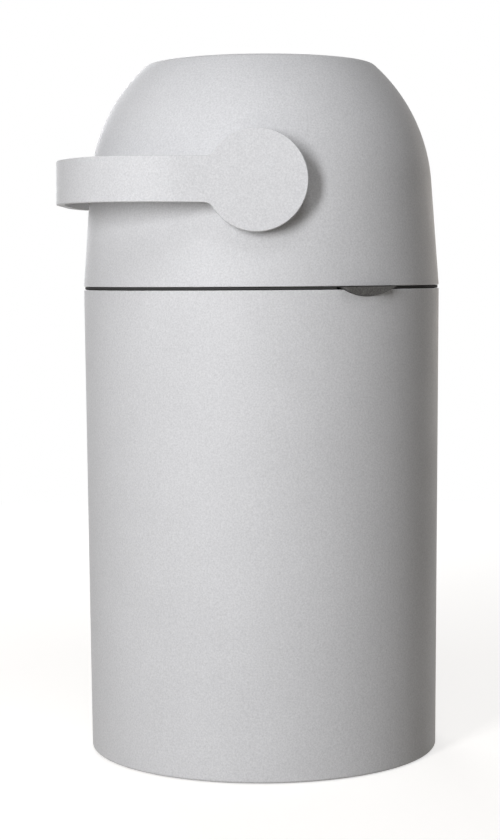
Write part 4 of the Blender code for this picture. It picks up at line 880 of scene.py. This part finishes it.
def make_drum_seal(name, way, finish):
    """A wedge lip that follows the drum, under the collar's flange or on the tray's."""
    seat = SEAL_SEAT_RISE - GAP
    reach = DRUM_RADIUS + GAP
    lip_outer = SEAL_INNER_RADIUS + SEAL_LIP_WIDTH
    points = [
        (SEAL_INNER_RADIUS, seat), (SEAL_OUTER_RADIUS, seat),
        (SEAL_OUTER_RADIUS, SEAL_SEAT_RISE - SEAL_WALL_DEPTH),
        (lip_outer, sphere_height(reach, lip_outer)),
        (SEAL_INNER_RADIUS, sphere_height(reach, SEAL_INNER_RADIUS)),
    ]
    part(turned(name, mirrored(way, points), RING_FACETS, PIVOT), finish)


def make_head_tray(finish):
    seat = PIVOT_HEIGHT - SEAL_SEAT_RISE
    wall_top = seat + SEAL_WALL_DEPTH
    flange_low = seat - SEAL_FLANGE
    inner = SEAL_INNER_RADIUS + GAP
    outer = skirt_radius(TRAY_TOP - SEAM_HEIGHT, WALL) - RUN_GAP
    spigot_low = SEAM_HEIGHT - SPIGOT_DEPTH
    lip_low = RIM_HEIGHT - TRAY_LIP_DEPTH
    lip_inner = outer - TRAY_LIP_WIDTH
    band_radius = RIM_RADIUS - TRAY_BAND_INSET
    band_top = SEAM_HEIGHT - GAP
    band_low = RIM_HEIGHT + GAP
    outline = stepped(
        *(inner, seat, SEAL_WALL_INNER, wall_top, SEAL_WALL_OUTER, TRAY_TOP, outer, band_top),
        *(band_radius, band_low, outer, lip_low, lip_inner, TRAY_BOTTOM, SPIGOT_RADIUS, spigot_low),
        *(SPIGOT_RADIUS - WALL, TRAY_BOTTOM, SEAL_WALL_INNER, flange_low),
    )
    tray = turned("head_tray", outline, RING_FACETS)
    half = TAB_HALF_WIDTH + 2 * RUN_GAP
    depths, heights = (lip_inner - OVERRUN, RIM_RADIUS), (lip_low - OVERRUN, TRAY_BOTTOM - GAP)
    cut(tray, block("tab_gap", depths, (-half, half), heights, turn=AT_LATCH))
    rib_end = RIM_RADIUS - TRAY_BOSS_INSET - TRAY_BOSS_RADIUS - RUN_GAP
    heights = (TRAY_TOP - TRAY_THICKNESS / 2, TRAY_TOP + TRAY_RIB_HEIGHT)
    spans = (SEAL_WALL_OUTER - SEAL_WALL / 2, rib_end), RIB_SPAN, heights
    for i in range(TRAY_RIBS):
        bearing = LATCH_BEARING + 2 * pi * i / TRAY_RIBS
        add(tray, block("tray_rib", *spans, turn=(0, 0, bearing)))
    for place in tray_screw_points():
        cut(tray, rod("hole", SCREW_HOLE, TRAY_BOTTOM - OVERRUN, TRAY_TOP + OVERRUN, place))
    root = TRAY_BOTTOM + TRAY_THICKNESS / 2
    barb_top = LEG_LOW - 2 * GAP
    barb_low = barb_top - BARB_HEIGHT
    shank = HOOK_FACE - HOOK_THICKNESS
    tip = shank - BARB_REACH
    hook = [
        (shank, root), (HOOK_FACE, root), (HOOK_FACE, barb_low + HOOK_THICKNESS / 2),
        (HOOK_FACE - HOOK_THICKNESS / 2, barb_low), (shank - BARB_REACH / 2, barb_low),
        (tip, barb_top - BARB_HEIGHT / 3), (tip, barb_top), (shank, barb_top),
    ]
    turn = (pi / 2, 0, LATCH_BEARING)
    add(tray, plate("latch_hook", hook, -HOOK_HALF_WIDTH, HOOK_HALF_WIDTH, turn=turn))
    part(tray, finish)


def make_rim_seal(finish):
    low = BAG_RING_TOP + GAP
    high = SEAM_HEIGHT - SPIGOT_DEPTH - GAP
    middle = SPIGOT_RADIUS - WALL / 2
    half = RIM_SEAL_WIDTH / 2
    step = half / 3
    left, right = middle - half, middle + half
    outline = [
        (left + step, high), (right - step, high), (right, high - step), (right, low + step),
        (right - step, low), (left + step, low), (left, low + step), (left, high - step),
    ]
    part(turned("rim_seal", outline, RING_FACETS), finish)


def make_bush(name, side, finish):
    face = BUSH_FACE + BUSH_FLANGE
    end = COLLAR_INNER_FACE + GAP
    outline = stepped(BUSH_RADIUS, face, BUSH_FLANGE_RADIUS, BUSH_FACE, BUSH_OUTER_RADIUS, end)
    bush = turned(name, mirrored(side, outline), HUB_FACETS, PIVOT, ACROSS)
    drop = (LUG_HALF_WIDTH + GAP) / BUSH_FLANGE_RADIUS
    inner = (BUSH_FLANGE_RADIUS + BUSH_OUTER_RADIUS) / 2
    ring = arc(STOP_RADIUS, pi + drop, 2 * pi - drop, RING_STEPS)
    ring += arc(inner, 2 * pi - drop, pi + drop, RING_STEPS)
    add(bush, plate("stop", ring, *to_side(side, BUSH_FACE, face), PIVOT, ACROSS))
    part(bush, finish)


def make_drum_barrel(finish):
    end = DRUM_HALF_LENGTH
    lip = end - LIP_THICKNESS
    seat = LIP_RADIUS + RETAINER_WIDTH + GAP
    turn_in = atan2(end, sphere_height(DRUM_RADIUS, end))
    outline = [(BORE_RADIUS, lip), (seat, lip), (seat, end)]
    outline += arc(DRUM_RADIUS, turn_in, -turn_in, RING_STEPS)
    outline += [(LIP_RADIUS, -end), (LIP_RADIUS, -lip), (BORE_RADIUS, -lip)]
    barrel = turned("drum_barrel", outline, RING_FACETS, PIVOT)
    hollow_end = end - HOLLOW_END_MARGIN
    hollow_turn = asin(hollow_end / DRUM_INSIDE)
    tube = BORE_RADIUS + BORE_WALL
    hollow = arc(DRUM_INSIDE, hollow_turn, -hollow_turn, HOLLOW_STEPS)
    hollow += [(tube, -hollow_end), (tube, hollow_end)]
    cut(barrel, turned("drum_hollow", hollow, RING_FACETS, PIVOT))
    whole = (-DRUM_RADIUS, DRUM_RADIUS)
    near = CAP_PLANE - CAP_SPIGOT_DEPTH - GAP
    for side in SIDES:
        beyond = to_side(side, CAP_PLANE, DRUM_RADIUS + OVERRUN)
        cut(barrel, block("drum_side", beyond, whole, whole, place=PIVOT))
        seat = CAP_SPIGOT_RADIUS + GAP
        cut(barrel, peg("cap_seat", seat, side, near, DRUM_RADIUS, PIVOT, RING_FACETS))
    near = BORE_RADIUS + BORE_WALL / 2
    for place, side in cap_screw_places():
        add(barrel, peg("cap_column", CAP_COLUMN_RADIUS, side, near, CAP_PAD_FACE - GAP, place))
        cut(barrel, peg("cap_pilot", SCREW_HOLE, side, near + BORE_WALL, DRUM_RADIUS, place))
    part(barrel, finish)


def make_drum_cap(name, side, finish):
    plane = CAP_PLANE + GAP
    rim = sphere_height(DRUM_RADIUS, plane)
    spigot_low = plane - CAP_SPIGOT_DEPTH
    spigot_inner = CAP_SPIGOT_RADIUS - CAP_SPIGOT_WALL
    tube = TRUNNION_RADIUS - TRUNNION_WALL
    end_wall = TRUNNION_END - TRUNNION_WALL
    starts = asin(TRUNNION_RADIUS / DRUM_RADIUS), asin(spigot_inner / DRUM_INSIDE)
    outer = arc(DRUM_RADIUS, starts[0], asin(rim / DRUM_RADIUS), CAP_STEPS)
    inner = arc(DRUM_INSIDE, starts[1], asin(tube / DRUM_INSIDE), FILLET_STEPS)
    outline = [(HUB_SCREW_HOLE, TRUNNION_END), (TRUNNION_RADIUS, TRUNNION_END)]
    outline += [(b, a) for a, b in outer]
    outline += [(CAP_SPIGOT_RADIUS, plane), (CAP_SPIGOT_RADIUS, spigot_low), (spigot_inner, spigot_low)]
    outline += [(b, a) for a, b in inner]
    outline += [(tube, end_wall), (HUB_SCREW_HOLE, end_wall)]
    cap = turned(name, mirrored(side, outline), RING_FACETS, PIVOT, ACROSS)
    size = TRUNNION_RADIUS + OVERRUN
    wide = to_side(side, TRUNNION_END - KEY_LENGTH, TRUNNION_END + OVERRUN)
    for way in SIDES:
        heights = to_side(way, KEY_HALF_HEIGHT, size)
        cut(cap, block("flat", wide, (-size, size), heights, place=PIVOT))
    pad_end = sphere_height(DRUM_RADIUS, CAP_SCREW_OFFSET) - DRUM_SKIN / 2
    well, seat = SMALL_HEAD_RADIUS + RUN_GAP, CAP_HEAD_SEAT - GAP
    for place in [place for place, which in cap_screw_places() if which == side]:
        add(cap, peg("cap_pad", CAP_PAD_RADIUS, side, CAP_PAD_FACE, pad_end, place))
        cut(cap, peg("cap_well", well, side, seat, DRUM_RADIUS + OVERRUN, place, PAD_FACETS))
        cut(cap, peg("cap_hole", SCREW_HOLE, side, CAP_PAD_FACE - OVERRUN, DRUM_RADIUS, place))
    part(cap, finish)


def make_cap_screws(finish):
    for i, ((_, _, height), side) in enumerate(cap_screw_places()):
        place, turn = (side * CAP_HEAD_SEAT, 0, height), (0, side * pi / 2, 0)
        part(screw(f"cap_screw_{i + 1}", *SMALL_SCREW, place, turn), finish)


def make_retainer(finish):
    outer = LIP_RADIUS + RETAINER_WIDTH
    low = DRUM_HALF_LENGTH - LIP_THICKNESS + GAP
    outline = stepped(LIP_RADIUS, DRUM_HALF_LENGTH, outer, low)
    part(turned("piston_retainer", outline, RING_FACETS, PIVOT), finish)


def make_hub_fixings(tag, side, finish):
    under = WASHER_FACE - WASHER_THICKNESS
    place = (side * (under - GAP), 0, PIVOT_HEIGHT)
    part(screw("hub_screw_" + tag, *HUB_SCREW, place, (0, -side * pi / 2, 0)), finish)
    outline = mirrored(side, stepped(HUB_SCREW_HOLE, WASHER_FACE, WASHER_RADIUS, under))
    part(turned("hub_washer_" + tag, outline, MIDDLE_FACETS, PIVOT, ACROSS), finish)


def key_outline(radius, half_height):
    """A circle with two flats, as on the ends of the trunnions."""
    lean = asin(half_height / radius)
    right = arc(radius, -lean, lean, RING_STEPS)
    return right + arc(radius, pi - lean, pi + lean, RING_STEPS)


def handle_side_view():
    """Outline of one arm and its disc, seen along the pivot, with the handle reaching to -X."""
    half = HANDLE_WIDTH / 2
    fillet = sqrt((DISC_RADIUS + NECK_FILLET) ** 2 - (half + NECK_FILLET) ** 2)
    lean = atan2(half + NECK_FILLET, fillet)
    upper = [(-HANDLE_REACH - OVERRUN, half)]
    upper += arc(NECK_FILLET, -pi / 2, -lean, NECK_STEPS, (-fillet, half + NECK_FILLET))
    disc = arc(DISC_RADIUS, pi - lean, lean - pi, DISC_STEPS)
    return upper + disc[1:-1] + [(x, -y) for x, y in reversed(upper)]


def handle_plan_view(inset):
    """The handle's outline from above, from one disc's end round the bar to the other's."""
    centre = (HANDLE_HALF_SPAN - CORNER_WIDTH, CORNER_LENGTH - HANDLE_REACH)
    long = CORNER_LENGTH - inset
    wide = CORNER_WIDTH - inset
    half = [(HANDLE_HALF_SPAN - inset, DISC_RADIUS + OVERRUN)]
    for i in range(CORNER_STEPS + 1):
        angle = pi / 2 * i / CORNER_STEPS
        half.append((centre[0] + wide * cos(angle), centre[1] - long * sin(angle)))
    return half + [(-x, y) for x, y in reversed(half)]


def make_handle(finish):
    plan = handle_plan_view(0) + handle_plan_view(HANDLE_THICKNESS)[::-1]
    size = DISC_RADIUS + OVERRUN
    handle = plate("handle", plan, -size, size, PIVOT)
    handle.data.transform(Matrix.Rotation(-HANDLE_TILT, 4, "X"))
    reach = HANDLE_HALF_SPAN + OVERRUN
    side_view = plate("handle_side", handle_side_view(), -reach, reach, PIVOT, ACROSS)
    side_view.data.transform(Matrix.Rotation(-HANDLE_TILT, 4, "Z"))
    combine(handle, side_view, "INTERSECT")
    soften(handle, HANDLE_EDGE, EDGE_STEPS)
    hub_low = TRUNNION_END - KEY_LENGTH + GAP
    hub_high = HUB_BACK + HANDLE_THICKNESS / 2
    lug = (-STOP_RADIUS, -BUSH_FLANGE_RADIUS - RUN_GAP), (-LUG_HALF_WIDTH, LUG_HALF_WIDTH)
    socket = key_outline(TRUNNION_RADIUS + GAP, KEY_HALF_HEIGHT + GAP)
    deep = TRUNNION_END + HUB_SCREW_LENGTH - TRUNNION_WALL
    for side in SIDES:
        add(handle, peg("hub", HUB_RADIUS, side, hub_low, hub_high, PIVOT, HUB_FACETS))
        spans = to_side(side, HUB_BACK - LUG_LENGTH, hub_high), *lug
        add(handle, block("stop_lug", *spans, place=PIVOT))
        spans = to_side(side, hub_low - OVERRUN, TRUNNION_END + GAP)
        cut(handle, plate("hub_socket", socket, *spans, PIVOT, ACROSS))
        cut(handle, peg("hub_pilot", HUB_SCREW_HOLE, side, hub_low, deep))
    part(handle, finish)


def make_piston(finish, seal_finish, screw_finish):
    half = PISTON_HEIGHT / 2
    joint = PISTON_SEAL_THICKNESS / 2 + GAP
    inner = PISTON_RADIUS - PISTON_WALL
    deck = half - PISTON_WALL
    middle = (0, 0, PIVOT_HEIGHT + PISTON_MIDDLE)
    well = SMALL_HEAD_RADIUS + GAP
    well_top = -half + SMALL_HEAD_HEIGHT + 2 * GAP
    rim = [
        (PISTON_RADIUS, half - PISTON_CHAMFER), (PISTON_RADIUS, joint), (inner, joint),
        (inner, deck), (PISTON_BOSS_RADIUS, deck), (PISTON_BOSS_RADIUS, GAP / 2),
    ]
    upper = [(0, half), (PISTON_RADIUS - PISTON_CHAMFER, half)] + rim
    upper += [(SCREW_HOLE, GAP / 2), (SCREW_HOLE, deck), (0, deck)]
    lower = [(well, -half), (PISTON_RADIUS - PISTON_CHAMFER, -half)] + mirrored(-1, rim)
    lower += [(SCREW_HOLE, -GAP / 2), (SCREW_HOLE, well_top), (well, well_top)]
    outer = BORE_RADIUS - RUN_GAP
    thick = PISTON_SEAL_THICKNESS / 2
    seal = stepped(outer - PISTON_SEAL_WIDTH, thick, outer, -thick)
    place = (0, 0, middle[2] + well_top - GAP)
    part(screw("piston_screw", *SMALL_SCREW, place, UPSIDE_DOWN), screw_finish)
    part(turned("piston_upper", upper, RING_FACETS, middle), finish)
    part(turned("piston_lower", lower, RING_FACETS, middle), finish)
    part(turned("piston_seal", seal, RING_FACETS, middle), seal_finish)


# Noise of the finishes, with sizes in metres
GRAIN_SIZE = 0.0006
GRAIN_DETAIL = 1.0
GRAIN_DEPTH = GRAIN_SIZE / 8
SPECK_SIZE = GRAIN_SIZE * 2
SPECK_ROUGHNESS = 0.7
SPECK_RANGE = (0.25, 0.75)
CLOUD_SIZE = 0.05
CLOUD_DETAIL = 3.0
CLOUD_RANGE = (0.3, 0.7)
WORN_RANGE = (0.53, 0.60)
GLOSS_SWING = 0.05
USUAL_DETAIL = 2.0
USUAL_ROUGHNESS = 0.5


# Linear colour, roughness, then the strength of grain, clouds, worn edges, flakes, shine and metal
FINISHES = {
    "satin_silver": ((0.655, 0.655, 0.66), 0.58, 1.0, 0.02, 0.05, 0.13, 0.35),
    "grey_plastic": ((0.30, 0.305, 0.315), 0.5, 0.3, 0.04, 0.1),
    # Dark grey tab plastic, made darker still as painted shade for the tab's downward-facing slope
    "tab_plastic": ((0.075, 0.072, 0.067), 0.45, 0.8, 0.1, 0.15, 0.9),
    # The tray's band shows in the seam gap: its near-black colour is painted shade standing in for the
    # shadow inside the seam
    "tray_plastic": ((0.055, 0.054, 0.052), 0.8, 0.3, 0.04, 0.0, 0.0, 0.05),
    "bearing_plastic": ((0.045, 0.046, 0.05), 0.38, 0.15, 0.05, 0.06),
    "seal_rubber": ((0.02, 0.02, 0.021), 0.7, 0.5, 0.1, 0.03),
    "bright_steel": ((0.58, 0.57, 0.55), 0.28, 0.1, 0.04, 0.05, 0.0, 0.5, 1.0),
}


def link(tree, source, output, target, socket):
    tree.links.new(source.outputs[output], target.inputs[socket])


def given(node, **values):
    """The node, with its input sockets and settings given by name."""
    for name, value in values.items():
        if name in node.inputs:
            node.inputs[name].default_value = value
        else:
            setattr(node, name, value)
    return node


def added(tree, kind, **values):
    return given(tree.nodes.new("ShaderNode" + kind), **values)


def noise(tree, place, size, detail=USUAL_DETAIL, roughness=USUAL_ROUGHNESS):
    """Noise whose features are about as wide as the size."""
    node = added(tree, "TexNoise", Scale=1 / size, Detail=detail, Roughness=roughness)
    link(tree, place, "Object", node, "Vector")
    return node


def spanned(tree, source, output, low, high, known=(0.0, 1.0)):
    """A value of one node spread from its known range over a new one."""
    names = ("From Min", "From Max", "To Min", "To Max")
    node = added(tree, "MapRange", **dict(zip(names, (*known, low, high))))
    link(tree, source, output, node, "Value")
    return node


def joined(tree, kind, first, second, fac=None, **values):
    """A new node with two others linked to its last two sockets, and perhaps a third to its Fac."""
    node = added(tree, kind, **values)
    for source, socket in zip((first, second), (0, 1) if fac is None else (1, 2)):
        link(tree, source, 0, node, socket)
    if fac is not None:
        link(tree, fac, 0, node, "Fac")
    return node


def reckoned(tree, operation, first, second):
    return joined(tree, "Math", first, second, operation=operation)


def bumped(tree, height, shader, strength, depth):
    bump = added(tree, "Bump", Strength=strength, Distance=depth)
    link(tree, height, "Fac", bump, "Height")
    link(tree, bump, "Normal", shader, "Normal")


def new_material(name):
    material = bpy.data.materials.new(name)
    material.use_nodes = True
    tree = material.node_tree
    return material, tree, tree.nodes["Principled BSDF"], added(tree, "TexCoord")


def moulded(name, colour, rough, grain, cloud, wear, flake=0.0, shine=0.5, metal=0.0):
    """A finish with grain, cloudy colour and roughness, and edges polished by handling."""
    material, tree, shader, place = new_material(name)
    given(shader, **{"Metallic": metal, "Specular IOR Level": shine})
    cloudy = noise(tree, place, CLOUD_SIZE, CLOUD_DETAIL)
    fine = noise(tree, place, GRAIN_SIZE, GRAIN_DETAIL)
    speck = noise(tree, place, SPECK_SIZE, USUAL_DETAIL, SPECK_ROUGHNESS)

    shade = spanned(tree, cloudy, "Fac", 1 - cloud, 1 + cloud, CLOUD_RANGE)
    speckle = spanned(tree, speck, "Fac", 1 - flake, 1 + flake, SPECK_RANGE)
    both = reckoned(tree, "MULTIPLY", shade, speckle)
    edge = added(tree, "NewGeometry")
    worn = spanned(tree, edge, "Pointiness", 0.0, wear, WORN_RANGE)
    lifted = reckoned(tree, "ADD", both, worn)
    tint = added(tree, "VectorMath", operation="SCALE")
    tint.inputs[0].default_value = colour
    link(tree, lifted, 0, tint, "Scale")
    link(tree, tint, "Vector", shader, "Base Color")

    gloss = spanned(tree, cloudy, "Fac", rough - GLOSS_SWING, rough + GLOSS_SWING, CLOUD_RANGE)
    polished = reckoned(tree, "SUBTRACT", gloss, worn)
    link(tree, polished, 0, shader, "Roughness")
    bumped(tree, fine, shader, grain, GRAIN_DEPTH)
    return material


def make_pieces():
    finishes = [moulded(name, *look) for name, look in FINISHES.items()]
    silver, grey, tab_plastic, tray_plastic, bearing_plastic, rubber, steel = finishes
    make_pail(silver)
    make_bag_ring(grey)
    make_hinge_pin(steel)
    make_foot_pads(rubber)
    make_latch_housing(grey)
    # The tab's dark colour is partly its plastic and partly painted shade for its sloped underside
    make_button(tab_plastic)
    make_spring(steel)
    latch_seat = LEDGE_HEIGHT + GAP + HOUSING_FLOOR + GAP
    make_small_screws("latch_screw", latch_screw_points(), latch_seat, ORIGIN, steel)
    make_head_shell(silver)
    make_feed_collar(grey)
    # Tray in near-black: painted shade for the shadow in the seam gap
    make_head_tray(tray_plastic)
    make_drum_seal("upper_seal", 1, rubber)
    make_drum_seal("lower_seal", -1, rubber)
    make_rim_seal(rubber)
    make_small_screws("tray_screw", tray_screw_points(), TRAY_BOTTOM - GAP, UPSIDE_DOWN, steel)
    make_drum_barrel(grey)
    make_retainer(grey)
    make_cap_screws(steel)
    for side, tag in ((1, "right"), (-1, "left")):
        make_bush("bearing_bush_" + tag, side, bearing_plastic)
        make_drum_cap("drum_cap_" + tag, side, grey)
        make_hub_fixings(tag, side, steel)
    make_handle(silver)
    make_piston(grey, rubber, steel)


# Camera, where the photograph's outline puts it
CAMERA_PLACE = (1.4805, 0.03771, 0.35639)
CAMERA_BEARING = radians(1.5)
CAMERA_PITCH = 0.0747
CAMERA_ROLL = 0.0063
CAMERA_LENS = 84.39

# Softboxes round the object's middle: bearing and elevation in degrees, distance, size, watts, colour
COOL = (0.96, 0.97, 1.0)
WARM = (1.0, 0.91, 0.82)
LIT_HEIGHT = 0.26
SOFTBOXES = {
    "key": (-25, 16, 1.8, (0.3, 0.9), 23.2, COOL),
    "rim": (148, 8, 2.2, (0.8, 0.8), 5.0, WARM),
    "back": (195, 15, 2.2, (1.0, 1.0), 26, COOL),
    "top": (8, 57, 2.2, (0.8, 0.8), 10.5, COOL),
}

# World and floor
AMBIENT = 0.04
AMBIENT_COLOUR = (1.0, 0.87, 0.72, 1.0)
WHITE = (1, 1, 1, 1)
FLOOR_REACH = 12.0
FLOOR_COLOUR = (0.5, 0.48, 0.45, 1.0)
FLOOR_ROUGHNESS = 0.9
FLOOR_GRAIN = GRAIN_SIZE * 10
FLOOR_BUMP = 0.05
FLOOR_GLOW = 0.7
FLOOR_FADE = 1.6
FLOOR_DROP = 0.0002


def make_camera():
    data = bpy.data.cameras.new("camera")
    data.lens = CAMERA_LENS
    camera = in_scene("camera", data)
    place = Matrix.Translation(CAMERA_PLACE)
    turns = (pi / 2 + CAMERA_BEARING, "Z"), (pi / 2 - CAMERA_PITCH, "X"), (-CAMERA_ROLL, "Z")
    for angle, axis in turns:
        place @= Matrix.Rotation(angle, 4, axis)
    camera.matrix_world = place
    bpy.context.scene.camera = camera


def make_softbox(name, bearing, elevation, distance, size, power, colour):
    data = bpy.data.lights.new(name, "AREA")
    data.shape = "RECTANGLE"
    data.size, data.size_y = size
    data.energy = power
    data.color = colour
    lamp = in_scene(name, data)
    bearing, elevation = radians(bearing), radians(elevation)
    away = Vector(spread(bearing, cos(elevation), sin(elevation)))
    lamp.location = Vector((0, 0, LIT_HEIGHT)) + away * distance
    lamp.rotation_euler = away.to_track_quat("Z", "Y").to_euler()


def shown_plainly(tree, lit, plain, output):
    """Gives the output one shader for lighting the object and a plain one for what is seen."""
    rays = added(tree, "LightPath")
    seen = added(tree, "Math", operation="MAXIMUM")
    link(tree, rays, "Is Camera Ray", seen, 0)
    link(tree, rays, "Is Glossy Ray", seen, 1)
    either = added(tree, "Math", operation="MAXIMUM")
    link(tree, seen, 0, either, 0)
    link(tree, rays, "Is Transmission Ray", either, 1)
    pick = joined(tree, "MixShader", lit, plain, either)
    link(tree, pick, 0, tree.nodes[output], "Surface")


def make_world():
    """Low warm light from all round, and plain white where a camera or gloss ray meets it."""
    world = bpy.data.worlds.new("studio")
    bpy.context.scene.world = world
    world.use_nodes = True
    tree = world.node_tree
    glow = given(tree.nodes["Background"], Color=AMBIENT_COLOUR, Strength=AMBIENT)
    white = added(tree, "Background", Color=WHITE)
    shown_plainly(tree, glow, white, "World Output")


def make_floor():
    """A pale floor that the camera sees as near white, with the object's soft shadow."""
    work = bmesh.new()
    bmesh.ops.create_circle(work, cap_ends=True, segments=BODY_FACETS, radius=FLOOR_REACH)
    floor = in_scene("floor", mesh_from("floor", work))
    floor.location.z = -FLOOR_DROP
    floor.data.materials.append(floor_finish())


def floor_finish():
    material, tree, shader, place = new_material("pale_floor")
    given(shader, Roughness=FLOOR_ROUGHNESS, **{"Base Color": FLOOR_COLOUR, "Specular IOR Level": 0})
    bumped(tree, noise(tree, place, FLOOR_GRAIN), shader, FLOOR_BUMP, GRAIN_SIZE)
    glow = added(tree, "Emission", Strength=FLOOR_GLOW)
    lit = joined(tree, "AddShader", shader, glow)
    white = added(tree, "Emission", Strength=1.0)
    away = added(tree, "VectorMath", operation="LENGTH")
    link(tree, place, "Object", away, 0)
    far = spanned(tree, away, "Value", 0.0, 1.0, (FLOOR_FADE / 4, FLOOR_FADE))
    near = joined(tree, "MixShader", lit, white, far)
    shown_plainly(tree, shader, near, "Material Output")
    return material


bpy.context.scene.view_settings.view_transform = "Standard"
make_camera()
for lamp, settings in SOFTBOXES.items():
    make_softbox(lamp, *settings)
make_world()
make_floor()
make_pieces()
bpy.data.collections.remove(CUTTERS)
